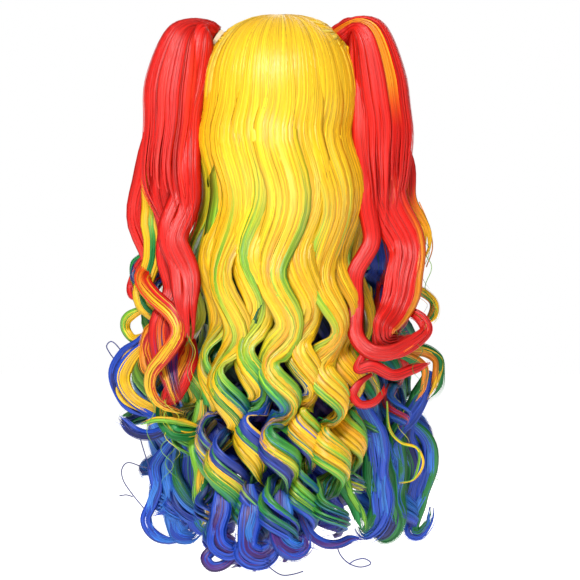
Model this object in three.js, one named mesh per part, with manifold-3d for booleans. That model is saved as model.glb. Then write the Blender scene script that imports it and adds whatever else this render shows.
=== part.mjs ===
import * as THREE from 'three';
import { mergeVertices } from 'three/addons/utils/BufferGeometryUtils.js';
import Module from 'manifold-3d';

const wasm = await Module();
wasm.setup();
const { clamp, degToRad, lerp } = THREE.MathUtils;

// Sizes in millimetres, angles in degrees.
// The origin is where the top of the head bears inside the cap, +Z is up, and the back of the wig faces -Y.
// Azimuth 0 is the middle of the back, -90 the side that is left in the photograph and 180 the face.
// Polar angle 0 is the top of the crown and 90 the widest level of the head.
const HEAD_HALF = { x: 77, y: 98, z: 95 };
const HEAD_CORE = { x: 8, y: 8, z: 8 };
const CAP_WALL = 2;
const GAP = 0.35;
const CAP_RIM = { back: 125, side: 108, front: 65 };
const RIM_CLEAR = 0.6;
const CROWN_OUT = { x: 86, y: 108, z: 109 };
const CROWN_EDGE = { back: 98, side: 92, front: 86 };
const DOME_STEPS = { around: 32, down: 6 };

// A lock is a flat bundle of hair with a ridge on each face, fuller or slimmer along its length
const LOCK_SIDES = 4;
const LOCK_STEP = 55;
const LOCK_STEPS_PER_TURN = 6;
const LOCK_STEPS_PER_BEND = 7;
const LOCK_TRIALS = 240;
const SLIM_LOW = [
  { along: 0, share: 0.55 },
  { along: 0.12, share: 1 },
  { along: 0.36, share: 0.95 },
  { along: 0.55, share: 0.8 },
  { along: 0.9, share: 0.7 },
  { along: 1, share: 0.4 },
];
const FULL_LOW = [
  { along: 0, share: 0.45 },
  { along: 0.3, share: 0.6 },
  { along: 0.6, share: 0.8 },
  { along: 0.9, share: 1 },
  { along: 1, share: 0.4 },
];

// The curl: a wave that grows and tightens downwards from the first bend to the right
const CURL_PITCH = 190;
const CURL_TIGHTENING = 230;
const CURL_DEPTH = 0.8;
const CURL_MOST = 1.1;
const CURL_TWIST = 0.7;

// Outer back locks, part of the crown hair, that leave the dome at these polar angles
const HANG_SHARES = [0.3, 0.65, 1];
const BACK_LEVELS = [62, 80, 92];
const BACK_SINK = 2;
const BACK_HAIR = { thick: 12, fullness: SLIM_LOW, curlTop: -100, curlFull: -440 };
const BACK_LOCKS = [
  { azimuth: -58, tip: [-80, -74, -542], width: 32, swing: 16, bend: -204 },
  { azimuth: -38, tip: [-65, -106, -588], width: 33, swing: 18, bend: -209 },
  { azimuth: -19, tip: [-34, -102, -586], width: 33, swing: 17, bend: -206 },
  { azimuth: 0, tip: [-6, -121, -584], width: 33, swing: 19, bend: -214 },
  { azimuth: 19, tip: [26, -102, -572], width: 33, swing: 17, bend: -208 },
  { azimuth: 38, tip: [57, -106, -550], width: 33, swing: 18, bend: -212 },
  { azimuth: 58, tip: [80, -74, -508], width: 32, swing: 16, bend: -206 },
];

// Under locks from the weft across the nape
const WEFT_MARGIN = 3;
const WEFT_LEAST = 7;
const WEFT_ROOTS = [0.35, 0.8];
const NAPE_WEFT = { from: -50, to: 50, thick: 3, steps: 12 };
const NAPE_HAIR = { thick: 11, fullness: SLIM_LOW, curlTop: -100, curlFull: -440 };
const NAPE_LOCKS = [
  { azimuth: -37, tip: [-54, -40, -566], width: 36, swing: 15, bend: -214 },
  { azimuth: -12, tip: [-20, -70, -588], width: 38, swing: 15, bend: -216 },
  { azimuth: 12, tip: [18, -62, -580], width: 38, swing: 15, bend: -216 },
  { azimuth: 37, tip: [56, -40, -556], width: 36, swing: 15, bend: -214 },
];

// Side locks from a weft in front of each ear, fullest in the curls at their ends
const SIDE_WEFT = { from: 92, to: 130, thick: 3, steps: 5 };
const SIDE_HAIR = { thick: 14, fullness: FULL_LOW, curlTop: -100, curlFull: -440 };
const SIDE_LOCKS = {
  left: [
    { azimuth: -101, tip: [-108, 4, -560], width: 44, swing: 15, bend: -215 },
    { azimuth: -111, tip: [-133, 28, -545], width: 44, swing: 15, bend: -225 },
    { azimuth: -123, tip: [-164, 50, -446], width: 44, swing: 17, bend: -203 },
  ],
  right: [
    { azimuth: 101, tip: [108, 2, -566], width: 46, swing: 15, bend: -215 },
    { azimuth: 111, tip: [141, 28, -560], width: 46, swing: 15, bend: -225 },
    { azimuth: 123, tip: [164, 52, -500], width: 42, swing: 15, bend: -235 },
  ],
};

// Bunch at each side of the top, with the clip round it and the ponytail on its end
const BUNCH = { root: 8, length: 16.6 };
const BUNCH_PLACE = {
  left: { azimuth: -95, polar: 44, lean: new THREE.Vector3(-0.84, 0, 0.54).normalize() },
  right: { azimuth: 81, polar: 42, lean: new THREE.Vector3(0.78, -0.1, 0.62).normalize() },
};
const BUNCH_RADIUS = { root: 17, end: 9 };
const CLIP = { from: 6, wall: 2.6, sides: 16 };

// Ponytail locks rise from the bunch, turn over a crest and fall past a shoulder and a waist
const TAIL_START = 24;
const TAIL_CREST = { share: 0.45, depth: 0.6, z: 1, fall: 0.12, from: 95 };
const TAIL_SHOULDER_Z = -55;
const TAIL_WAIST_Z = -195;
const TAIL_HAIR = { thick: 23, fullness: SLIM_LOW, curlTop: -130, curlFull: -285 };
const TAIL_LOCKS = {
  left: [
    { shoulder: [-95, -24], waist: [-104, -54], tip: [-92, -102, -356], width: 30, swing: 9, bend: -300 },
    { shoulder: [-114, -20], waist: [-117, -37], tip: [-113, -94, -404], width: 34, swing: 14, bend: -236 },
    { shoulder: [-132, -10], waist: [-151, -14], tip: [-154, -24, -422], width: 28, swing: 13, bend: -244 },
    { shoulder: [-110, -2], waist: [-128, -10], tip: [-128, -28, -436], width: 34, swing: 16, bend: -227 },
  ],
  right: [
    { shoulder: [90, -36], waist: [101, -58], tip: [96, -102, -358], width: 30, swing: 12, bend: -227 },
    { shoulder: [107, -28], waist: [122, -42], tip: [128, -72, -404], width: 34, swing: 16, bend: -260 },
    { shoulder: [124, -16], waist: [140, -18], tip: [157, -24, -424], width: 28, swing: 13, bend: -302 },
    { shoulder: [106, -6], waist: [122, -14], tip: [130, -28, -436], width: 34, swing: 15, bend: -240 },
  ],
};

const YELLOW = '#f6cf2a';
const RED = '#e8281f';
const GREEN = '#2f9a4a';
const BLUE = '#2a4bc0';
const CAP_COLOUR = '#d9b53a';
const CREAM = '#efe6cf';

const CAP_OUT = grownBy(HEAD_HALF, CAP_WALL);
const CAP_MIDDLE = grownBy(HEAD_HALF, CAP_WALL / 2);

function grownBy(half, extra) {
  return { x: half.x + extra, y: half.y + extra, z: half.z + extra };
}

// A point on the round of the head at an azimuth and a polar angle
function onHead(half, azimuth, polar) {
  const turn = degToRad(azimuth);
  const drop = degToRad(polar);
  return new THREE.Vector3(
    half.x * Math.sin(turn) * Math.sin(drop),
    -half.y * Math.cos(turn) * Math.sin(drop),
    -HEAD_HALF.z + half.z * Math.cos(drop),
  );
}

// The polar angle where a cap or a layer of hair ends, from its angles at the back, sides and front
function edgeAt(edge, azimuth) {
  const turn = degToRad(azimuth);
  const middle = (edge.back + edge.front) / 2;
  const swing = (edge.back - edge.front) / 2;
  return middle + swing * Math.cos(turn) + (edge.side - middle) * Math.sin(turn) ** 2;
}

// Six times the volume that a skin holds, negative where its faces look inwards
function signedVolume(positions, faces) {
  const a = new THREE.Vector3();
  const b = new THREE.Vector3();
  const c = new THREE.Vector3();
  let sum = 0;
  for (let i = 0; i < faces.length; i += 3) {
    a.fromArray(positions, faces[i] * 3);
    b.fromArray(positions, faces[i + 1] * 3);
    c.fromArray(positions, faces[i + 2] * 3);
    sum += a.dot(b.cross(c));
  }
  return sum;
}

// A solid for joining and cutting, from a closed geometry
function solid(geometry) {
  geometry.deleteAttribute('normal');
  geometry.deleteAttribute('uv');
  const merged = mergeVertices(geometry, 1e-4);
  const vertProperties = new Float32Array(merged.attributes.position.array);
  const triVerts = new Uint32Array(merged.index.array);
  if (signedVolume(vertProperties, triVerts) < 0) {
    triVerts.reverse();
  }
  return new wasm.Manifold(new wasm.Mesh({ numProp: 3, vertProperties, triVerts }));
}

// Rings of points joined into one closed skin, closed to a point at each end
function skin(start, rings, end) {
  const count = rings[0].length;
  const points = [start, ...rings.flat(), end];
  const last = points.length - 1;
  const at = (ring, step) => 1 + ring * count + (step % count);
  const faces = [];
  for (let step = 0; step < count; step += 1) {
    faces.push(0, at(0, step + 1), at(0, step));
    for (let ring = 0; ring + 1 < rings.length; ring += 1) {
      faces.push(at(ring, step), at(ring, step + 1), at(ring + 1, step));
      faces.push(at(ring, step + 1), at(ring + 1, step + 1), at(ring + 1, step));
    }
    faces.push(last, at(rings.length - 1, step), at(rings.length - 1, step + 1));
  }
  const geometry = new THREE.BufferGeometry().setFromPoints(points);
  geometry.setIndex(faces);
  return solid(geometry);
}

function joined(solids) {
  return solids.reduce((whole, next) => whole.add(next));
}

function meshOf(name, body, colour, roughness) {
  const { vertProperties, triVerts } = body.getMesh();
  const geometry = new THREE.BufferGeometry();
  geometry.setAttribute('position', new THREE.BufferAttribute(vertProperties, 3));
  geometry.setIndex(new THREE.BufferAttribute(triVerts, 1));
  geometry.computeVertexNormals();
  const material = new THREE.MeshStandardMaterial({ color: colour, roughness, metalness: 0 });
  const mesh = new THREE.Mesh(geometry, material);
  mesh.name = name;
  return mesh;
}

// A round shell open at the bottom, between an inner and an outer round of the head
function shell(inner, outer, edge) {
  const ringOn = (half, row) => {
    const ring = [];
    for (let step = 0; step < DOME_STEPS.around; step += 1) {
      const azimuth = (360 * step) / DOME_STEPS.around;
      ring.push(onHead(half, azimuth, (edgeAt(edge, azimuth) * row) / DOME_STEPS.down));
    }
    return ring;
  };
  const outside = [];
  const inside = [];
  for (let row = 1; row <= DOME_STEPS.down; row += 1) {
    outside.push(ringOn(outer, row));
    inside.unshift(ringOn(inner, row));
  }
  return skin(onHead(outer, 0, 0), [...outside, ...inside], onHead(inner, 0, 0));
}

// The cap itself, and the same cap filled and grown by the gap to clear hair from it and from the head space
function capSolid() {
  return shell(HEAD_HALF, CAP_OUT, CAP_RIM);
}

function capCutter() {
  const { back, side, front } = CAP_RIM;
  const edge = { back: back + RIM_CLEAR, side: side + RIM_CLEAR, front: front + RIM_CLEAR };
  return shell(HEAD_CORE, grownBy(CAP_OUT, GAP), edge);
}

// How full a lock is at a share of its length, read from a short table
function fullnessAt(table, along) {
  const next = Math.max(1, table.findIndex((row) => row.along >= along));
  const before = table[next - 1];
  const after = table[next];
  return lerp(before.share, after.share, (along - before.along) / (after.along - before.along));
}

// How far the curl carries a lock sideways and in depth at a height
function curlAt(z, lock, hair) {
  const grown = clamp((hair.curlTop - z) / (hair.curlTop - hair.curlFull), 0, CURL_MOST);
  const below = lock.bend - z;
  const turns = below / CURL_PITCH + (Math.max(below, 0) / CURL_TIGHTENING) ** 2;
  const angle = 2 * Math.PI * turns + Math.PI / 2;
  const out = new THREE.Vector3(Math.sin(angle), -CURL_DEPTH * Math.cos(angle), 0);
  return { turns, grown, out };
}

// Shares of a lock's length where it gets a section: closer together where it bends or curls more
function sectionShares(route, lock, hair) {
  const stretch = route.getLength() / LOCK_TRIALS / LOCK_STEP;
  const effort = [0];
  for (let trial = 1; trial <= LOCK_TRIALS; trial += 1) {
    const from = (trial - 1) / LOCK_TRIALS;
    const to = trial / LOCK_TRIALS;
    const before = curlAt(route.getPointAt(from).z, lock, hair);
    const after = curlAt(route.getPointAt(to).z, lock, hair);
    const curled = Math.abs(after.turns - before.turns) * Math.min(after.grown, 1) * LOCK_STEPS_PER_TURN;
    const bent = route.getTangentAt(from).angleTo(route.getTangentAt(to)) / (2 * Math.PI);
    effort.push(effort[trial - 1] + stretch + curled + bent * LOCK_STEPS_PER_BEND);
  }
  const total = effort[LOCK_TRIALS];
  const steps = Math.ceil(total);
  const shares = [];
  for (let step = 0; step < steps; step += 1) {
    shares.push(effort.findIndex((spent) => spent >= (total * step) / steps) / LOCK_TRIALS);
  }
  return [...shares, 1];
}

// A curled lock along a path, with its flat side turned to the direction that faceAt gives
function lockSolid(path, lock, hair, faceAt, grow) {
  const route = new THREE.CatmullRomCurve3(path, false, 'centripetal');
  const places = sectionShares(route, lock, hair).map((along) => {
    const spot = route.getPointAt(along);
    const { grown, out } = curlAt(spot.z, lock, hair);
    const face = faceAt(spot).addScaledVector(out, CURL_TWIST * grown).normalize();
    return { along, face, spot: spot.addScaledVector(out, lock.swing * grown) };
  });
  const last = places.length - 1;
  const rings = places.map(({ along, face, spot }, step) => {
    const before = places[Math.max(step - 1, 0)].spot;
    const after = places[Math.min(step + 1, last)].spot;
    const run = new THREE.Vector3().subVectors(after, before).normalize();
    const across = new THREE.Vector3().crossVectors(run, face).normalize();
    const outward = new THREE.Vector3().crossVectors(across, run);
    const share = fullnessAt(hair.fullness, along);
    const ring = [];
    for (let side = 0; side < LOCK_SIDES; side += 1) {
      const turn = (2 * Math.PI * side) / LOCK_SIDES;
      const corner = spot.clone();
      corner.addScaledVector(across, ((share * lock.width) / 2 + grow) * Math.cos(turn));
      corner.addScaledVector(outward, ((share * hair.thick) / 2 + grow) * Math.sin(turn));
      ring.push(corner);
    }
    return ring;
  });
  return skin(places[0].spot, rings, places[last].spot);
}

// The level direction away from the middle of the head
function awayFromHead(spot) {
  return new THREE.Vector3(spot.x / HEAD_HALF.x, spot.y / HEAD_HALF.y, 0).normalize();
}

function towardsBack() {
  return new THREE.Vector3(0, -1, 0);
}

// A lock that leaves the head at an azimuth and some levels and then hangs to its tip
function hangingLock(lock, half, levels, hair, grow) {
  const tip = new THREE.Vector3(...lock.tip);
  const path = levels.map((polar) => onHead(half, lock.azimuth, polar));
  const leaving = path[path.length - 1];
  HANG_SHARES.forEach((share) => path.push(new THREE.Vector3().lerpVectors(leaving, tip, share)));
  return lockSolid(path, lock, hair, awayFromHead, grow);
}

// Where a bunch leaves the crown, at a distance along its lean
function alongBunch(side, distance) {
  const { azimuth, polar, lean } = BUNCH_PLACE[side];
  return onHead(CROWN_OUT, azimuth, polar).addScaledVector(lean, distance);
}

// A round piece turned about the lean of a bunch, from half of its section as radius and distance
function turnedOnBunch(side, profile) {
  const points = profile.map(([radius, distance]) => new THREE.Vector2(radius, distance));
  const geometry = new THREE.LatheGeometry(points, CLIP.sides);
  const turn = new THREE.Quaternion().setFromUnitVectors(new THREE.Vector3(0, 1, 0), BUNCH_PLACE[side].lean);
  geometry.applyQuaternion(turn);
  geometry.translate(...alongBunch(side, 0).toArray());
  return solid(geometry);
}

function bunch(side, grow) {
  return turnedOnBunch(side, [
    [0, -BUNCH.root],
    [BUNCH_RADIUS.root + grow, -BUNCH.root],
    [BUNCH_RADIUS.root + grow, 0],
    [BUNCH_RADIUS.end + grow, CLIP.from - 1],
    [BUNCH_RADIUS.end + grow, BUNCH.length + grow],
    [0, BUNCH.length + grow],
  ]);
}

function clawClip(side) {
  const inner = BUNCH_RADIUS.end + GAP;
  const outer = inner + CLIP.wall;
  return turnedOnBunch(side, [
    [inner, CLIP.from],
    [outer, CLIP.from],
    [outer, BUNCH.length],
    [inner, BUNCH.length],
    [inner, CLIP.from],
  ]);
}

// The clip filled and grown by the gap, that keeps the ponytail off it
function clipCutter(side) {
  const outer = BUNCH_RADIUS.end + GAP + CLIP.wall + GAP;
  return turnedOnBunch(side, [
    [0, CLIP.from - GAP],
    [outer, CLIP.from - GAP],
    [outer, BUNCH.length + GAP],
    [0, BUNCH.length + GAP],
  ]);
}

// The dome of hair with the outer back locks and the two bunches
function crownSolid(grow) {
  const dome = shell(CAP_MIDDLE, grownBy(CROWN_OUT, grow), CROWN_EDGE);
  const half = grownBy(CROWN_OUT, -BACK_SINK);
  const locks = BACK_LOCKS.map((lock) => hangingLock(lock, half, BACK_LEVELS, BACK_HAIR, grow));
  return joined([dome, ...locks, bunch('left', grow), bunch('right', grow)]);
}

// The polar angle of a sewn strip at a share of its height, between the crown hair's edge and the cap's rim
function weftLevel(azimuth, share) {
  const upper = edgeAt(CROWN_EDGE, azimuth) + WEFT_MARGIN;
  const lower = Math.max(edgeAt(CAP_RIM, azimuth) - WEFT_MARGIN / 2, upper + WEFT_LEAST);
  return lerp(upper, lower, share);
}

function middleOf(points) {
  const sum = points.reduce((total, point) => total.add(point), new THREE.Vector3());
  return sum.divideScalar(points.length);
}

function weft(strip, sign) {
  const outer = grownBy(CAP_OUT, strip.thick);
  const rings = [];
  for (let step = 0; step <= strip.steps; step += 1) {
    const azimuth = sign * lerp(strip.from, strip.to, step / strip.steps);
    const upper = weftLevel(azimuth, 0);
    const lower = weftLevel(azimuth, 1);
    rings.push([
      onHead(CAP_MIDDLE, azimuth, upper),
      onHead(outer, azimuth, upper),
      onHead(outer, azimuth, lower),
      onHead(CAP_MIDDLE, azimuth, lower),
    ]);
  }
  return skin(middleOf(rings[0]), rings, middleOf(rings[strip.steps]));
}

function hairOnWeft(strip, sign, rows, hair) {
  const half = grownBy(CAP_OUT, strip.thick / 2);
  const locks = rows.map((lock) => {
    const levels = WEFT_ROOTS.map((share) => weftLevel(lock.azimuth, share));
    return hangingLock(lock, half, levels, hair, 0);
  });
  return joined([weft(strip, sign), ...locks]).subtract(capCutter()).subtract(crownCutter);
}

function tailLock(lock, side) {
  const start = alongBunch(side, TAIL_START);
  const [shoulderX, shoulderY] = lock.shoulder;
  const crestZ = TAIL_CREST.z - TAIL_CREST.fall * (Math.abs(shoulderX) - TAIL_CREST.from);
  const path = [
    alongBunch(side, BUNCH.length + GAP),
    start,
    new THREE.Vector3(lerp(start.x, shoulderX, TAIL_CREST.share), shoulderY * TAIL_CREST.depth, crestZ),
    new THREE.Vector3(shoulderX, shoulderY, TAIL_SHOULDER_Z),
    new THREE.Vector3(...lock.waist, TAIL_WAIST_Z),
    new THREE.Vector3(...lock.tip),
  ];
  return lockSolid(path, lock, TAIL_HAIR, towardsBack, 0);
}

function ponytail(side) {
  const locks = TAIL_LOCKS[side].map((lock) => tailLock(lock, side));
  return joined(locks).subtract(crownCutter).subtract(clipCutter(side));
}

const crown = crownSolid(0).subtract(capCutter());
const crownCutter = crownSolid(GAP);
const SIDES = [
  { side: 'left', sign: -1 },
  { side: 'right', sign: 1 },
];

const wig = new THREE.Group();
wig.name = 'curly_wig';
wig.add(meshOf('wig_cap', capSolid(), CAP_COLOUR, 0.9));
wig.add(meshOf('crown_hair', crown, YELLOW, 0.45));
wig.add(meshOf('nape_hair', hairOnWeft(NAPE_WEFT, 1, NAPE_LOCKS, NAPE_HAIR), BLUE, 0.45));
for (const { side, sign } of SIDES) {
  wig.add(meshOf(`side_hair_${side}`, hairOnWeft(SIDE_WEFT, sign, SIDE_LOCKS[side], SIDE_HAIR), GREEN, 0.45));
  wig.add(meshOf(`ponytail_${side}`, ponytail(side), RED, 0.45));
  wig.add(meshOf(`claw_clip_${side}`, clawClip(side), CREAM, 0.4));
}

export default wig;
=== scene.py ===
import math

import bpy
import numpy as np
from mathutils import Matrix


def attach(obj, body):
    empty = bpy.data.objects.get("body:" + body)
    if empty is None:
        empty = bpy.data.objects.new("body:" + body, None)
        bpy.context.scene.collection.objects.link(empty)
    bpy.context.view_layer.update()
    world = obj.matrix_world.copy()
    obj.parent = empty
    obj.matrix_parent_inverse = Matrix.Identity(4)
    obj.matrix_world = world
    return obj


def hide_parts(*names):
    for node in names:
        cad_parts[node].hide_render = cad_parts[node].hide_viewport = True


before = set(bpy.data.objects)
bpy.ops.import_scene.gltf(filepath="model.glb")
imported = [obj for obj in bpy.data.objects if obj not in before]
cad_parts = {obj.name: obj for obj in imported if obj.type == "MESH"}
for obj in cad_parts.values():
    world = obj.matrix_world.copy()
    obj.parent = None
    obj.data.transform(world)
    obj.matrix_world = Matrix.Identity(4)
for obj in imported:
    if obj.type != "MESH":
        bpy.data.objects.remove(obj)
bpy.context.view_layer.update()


# Wig cap: a stretch-net dome that holds the head, cut high over the forehead and low at the nape.
# Polyester net with rows of weft tape machine-sewn round it, and a soft edge turned in along the rim.
NET_MESH_PER_M = 420
NET_COLOUR = (0.62, 0.40, 0.05, 1)
NET_ROUGH = (0.85, 0.6)
NET_RELIEF = {"Strength": 0.5, "Distance": 0.0006}
WEFT_ROWS_PER_M = 14
WEFT_WAVER = 0.4
WEFT_EDGE = (0.72, 0.8)
TAPE_COLOUR = (0.30, 0.17, 0.02, 1)


def start_material(name):
    material = bpy.data.materials.new(name)
    material.use_nodes = True
    nodes = material.node_tree.nodes
    return material, nodes, nodes["Principled BSDF"]


def set_inputs(node, values):
    for socket, value in values.items():
        node.inputs[socket].default_value = value


def add_node(nodes, kind, values=None, **settings):
    node = nodes.new("ShaderNode" + kind)
    for setting, value in settings.items():
        setattr(node, setting, value)
    set_inputs(node, values or {})
    return node


def wire(source, output, target, socket):
    target.id_data.links.new(source.outputs[output], target.inputs[socket])


# Lets a pattern vary how rough a finish is and raise it a little
def vary_surface(shader, pattern, output, rough, relief):
    nodes = shader.id_data.nodes
    roughness = add_node(nodes, "MapRange", {"To Min": rough[0], "To Max": rough[1]})
    raised = add_node(nodes, "Bump", relief)
    wire(pattern, output, roughness, "Value")
    wire(roughness, "Result", shader, "Roughness")
    wire(pattern, output, raised, "Height")
    wire(raised, "Normal", shader, "Normal")


cap_net, nodes, shader = start_material("cap_net")
place = add_node(nodes, "TexCoord")
holes = add_node(nodes, "TexVoronoi", {"Scale": NET_MESH_PER_M}, feature="DISTANCE_TO_EDGE")
sewn = {"Scale": WEFT_ROWS_PER_M, "Distortion": WEFT_WAVER}
rows = add_node(nodes, "TexWave", sewn, bands_direction="Z")
row_edge = add_node(nodes, "MapRange", {"From Min": WEFT_EDGE[0], "From Max": WEFT_EDGE[1]})
net_or_tape = add_node(nodes, "Mix", {"A": NET_COLOUR, "B": TAPE_COLOUR}, data_type="RGBA")
wire(place, "Object", holes, "Vector")
wire(place, "Object", rows, "Vector")
wire(rows, "Fac", row_edge, "Value")
wire(row_edge, "Result", net_or_tape, "Factor")
wire(net_or_tape, "Result", shader, "Base Color")
vary_surface(shader, holes, "Distance", NET_ROUGH, NET_RELIEF)
wig_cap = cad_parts["wig_cap"]
wig_cap.data.materials.clear()
wig_cap.data.materials.append(cap_net)


# Crown hair: the dome of smooth hair over the cap, the long outer locks down the back and the two
# bunches that the clips grip. Heat-set synthetic fibre, sewn to the cap in rows and curled in lengths.
MM = 0.001
HEAD_Z = -95
HEAD_CENTRE = np.array((0, 0, HEAD_Z))
CAP_OUT = np.array((79.4, 100.4, 97.4))
CROWN_OUT = np.array((86.0, 108.0, 109.0))
CROWN_FULL = np.array((89.0, 108.0, 111.5))
CROWN_SQUARE = 2.5
CROWN_EDGE = {"back": 98, "side": 92, "front": 86}
FACING_HEAD = np.array((1 / 77, 1 / 98, 0))
STRAND_WIDE = 1.3
YELLOW = (252, 200, 22)
PALE_YELLOW = (252, 226, 84)
# A deep yellow dye in the golden blend, also used as painted shade on the packed bodies under the yellow
# strands
DEEP_YELLOW_DYE_AND_SHADE = (240, 178, 14)
ORANGE = (248, 148, 20)
AMBER = (250, 178, 14)
LIME = (132, 196, 48)
GREEN = (18, 134, 58)
DARK_GREEN = (10, 82, 44)
BLUE = (24, 76, 200)
SKY = (48, 126, 222)
NAVY = (22, 34, 116)
PURPLE = (74, 24, 128)
STRAW = (206, 206, 44)
BLENDS = {
    "sunny": ((-60, YELLOW), (-400, YELLOW), (-430, LIME), (-460, GREEN), (-510, BLUE), (-590, PURPLE)),
    "late": ((-60, YELLOW), (-470, YELLOW), (-492, LIME), (-514, GREEN), (-545, BLUE), (-605, PURPLE)),
    "golden": (
        (-60, YELLOW), (-220, DEEP_YELLOW_DYE_AND_SHADE), (-330, AMBER), (-440, AMBER), (-470, YELLOW), (-495, LIME),
        (-515, GREEN), (-550, BLUE), (-605, PURPLE),
    ),
    "pale": (
        (-90, YELLOW), (-150, PALE_YELLOW), (-240, YELLOW), (-330, PALE_YELLOW), (-440, YELLOW),
        (-475, LIME), (-505, GREEN), (-550, BLUE),
    ),
    "leafy": (
        (-120, YELLOW), (-190, STRAW), (-260, LIME), (-320, STRAW), (-380, LIME), (-425, GREEN),
        (-470, LIME), (-510, GREEN), (-550, BLUE), (-600, PURPLE),
    ),
    "sea": (
        (-200, YELLOW), (-310, YELLOW), (-345, STRAW), (-365, LIME), (-385, GREEN), (-420, BLUE),
        (-480, NAVY), (-540, BLUE), (-610, PURPLE),
    ),
}
HAIR = {"mix": 1.15, "loose": 1, "ragged": 0.06, "tangle": 1, "wisp": STRAND_WIDE, "pure": False}
LONG_HAIR = {
    **HAIR,
    "fullness": ((0, 0.12, 0.4, 0.56, 0.7, 0.9, 1), (0.6, 1.25, 1.14, 0.8, 0.82, 0.98, 0.8)),
    "rounded": ((0, 0.3, 0.55, 1), (0.35, 0.6, 0.9, 0.8)),
    "waves": ((70, 130, 230, 330, 440, 560), (0, 0.25, 0.5, 0.75, 1, 1.15)),
}
BACK_HAIR = {**LONG_HAIR, "thick": 12, "soft": 5, "steps": 78}
BACK_STRANDS_PER_MM = 0.45
BACK_LEVELS = (2, 24, 45, 62, 80, 92)
HANG_SHARES = (0.3, 0.65, 1)


# A lock that hangs from the cap at an azimuth down to its tip, with its curl: how far it swings,
# the height of its first bend and the pace at which it tightens
def hanging_lock(azimuth, tip, width, swing, bend, bands, pace=1):
    return {
        "azimuth": azimuth, "tip": tip, "width": width, "swing": swing, "bend": bend, "bands": bands,
        "pace": pace,
    }


BACK_LOCKS = (
    hanging_lock(-77, (-108, -46, -470), 34, 9, -178, "leafy sunny leafy", 0.8),
    hanging_lock(-58, (-78, -74, -542), 36, 11, -178, "leafy sunny late late sea sea", 0.78),
    hanging_lock(-38, (-62, -106, -588), 38, 14, -196, "late late leafy late sea sea", 0.78),
    hanging_lock(-19, (-33, -102, -586), 38, 11, -170, "late late leafy leafy sea sea", 0.84),
    hanging_lock(0, (-3, -121, -584), 38, 14, -192, "sea sea golden pale sunny leafy", 0.98),
    hanging_lock(19, (24, -102, -572), 38, 11, -174, "sea late golden pale late sunny"),
    hanging_lock(38, (54, -106, -550), 38, 14, -200, "leafy late golden pale golden late", 1.02),
    hanging_lock(58, (76, -74, -508), 36, 11, -180, "golden late golden late sunny leafy", 1.05),
    hanging_lock(77, (96, -48, -450), 30, 9, -180, "sea sunny leafy", 0.9),
)


def unit(vectors):
    return vectors / np.maximum(np.linalg.norm(vectors, axis=-1, keepdims=True), 1e-9)


def onto_head(half, azimuth, polar):
    turn = np.radians(azimuth)
    drop = np.radians(polar)
    x = half[0] * np.sin(turn) * np.sin(drop)
    y = -half[1] * np.cos(turn) * np.sin(drop)
    return np.stack((x, y, HEAD_Z + half[2] * np.cos(drop) + 0 * turn), axis=-1)


def edge_of_crown(azimuth):
    turn = np.radians(azimuth)
    middle = (CROWN_EDGE["back"] + CROWN_EDGE["front"]) / 2
    swing = (CROWN_EDGE["back"] - CROWN_EDGE["front"]) / 2
    return middle + swing * np.cos(turn) + (CROWN_EDGE["side"] - middle) * np.sin(turn) ** 2


# Steps along the lines of the hair: closer on the head, and closer where the hair bends
FINE_STEPS = 400
STEPS_BETWEEN = 60
STEPS_ON_HEAD = 22
STEPS_BELOW = 10
BELOW_HEAD = 20


# Evenly spaced places along a smooth line through a few points
def smooth_route(points, count=FINE_STEPS):
    points = np.array(points, float)
    points = np.vstack((2 * points[0] - points[1], points, 2 * points[-1] - points[-2]))
    gaps = np.sqrt(np.linalg.norm(np.diff(points, axis=0), axis=1))
    knots = np.concatenate(((0,), np.cumsum(gaps)))
    pieces = []
    for step in range(1, len(points) - 2):
        p0, p1, p2, p3 = points[step - 1:step + 3]
        k0, k1, k2, k3 = knots[step - 1:step + 3]
        k = np.linspace(k1, k2, STEPS_BETWEEN, endpoint=False)[:, None]
        a1 = (k1 - k) / (k1 - k0) * p0 + (k - k0) / (k1 - k0) * p1
        a2 = (k2 - k) / (k2 - k1) * p1 + (k - k1) / (k2 - k1) * p2
        a3 = (k3 - k) / (k3 - k2) * p2 + (k - k2) / (k3 - k2) * p3
        b1 = (k2 - k) / (k2 - k0) * a1 + (k - k0) / (k2 - k0) * a2
        b2 = (k3 - k) / (k3 - k1) * a2 + (k - k1) / (k3 - k1) * a3
        pieces.append((k2 - k) / (k2 - k1) * b1 + (k - k1) / (k2 - k1) * b2)
    line = np.vstack((*pieces, points[-2:-1]))
    run = np.concatenate(((0,), np.cumsum(np.linalg.norm(np.diff(line, axis=0), axis=1))))
    wanted = np.linspace(0, run[-1], count)
    return np.stack([np.interp(wanted, run, line[:, axis]) for axis in range(3)], axis=1)


# Curl of a lock: long turns that tighten down to a ring at the tip, with a soft swell higher up
CURL_PITCH = 190
CURL_TIGHTENING = 230
CURL_EVEN_BELOW = 250
CURL_DEPTH = 0.8
CURL_TWIST = 1.2
SOFT_PITCH = 140
SOFT_FROM = -184
SOFT_REACH = ((50, 110, 220, 340), (0, 1, 0.8, 0))
RING_HEIGHT = 34
RING_TURNS = 0.5
SWAY_UNEVEN = 0.6
SWAY_DEPTH = 0.7
SWAY_FREED = ((0.2, 0.6), (0, 1))


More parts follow.
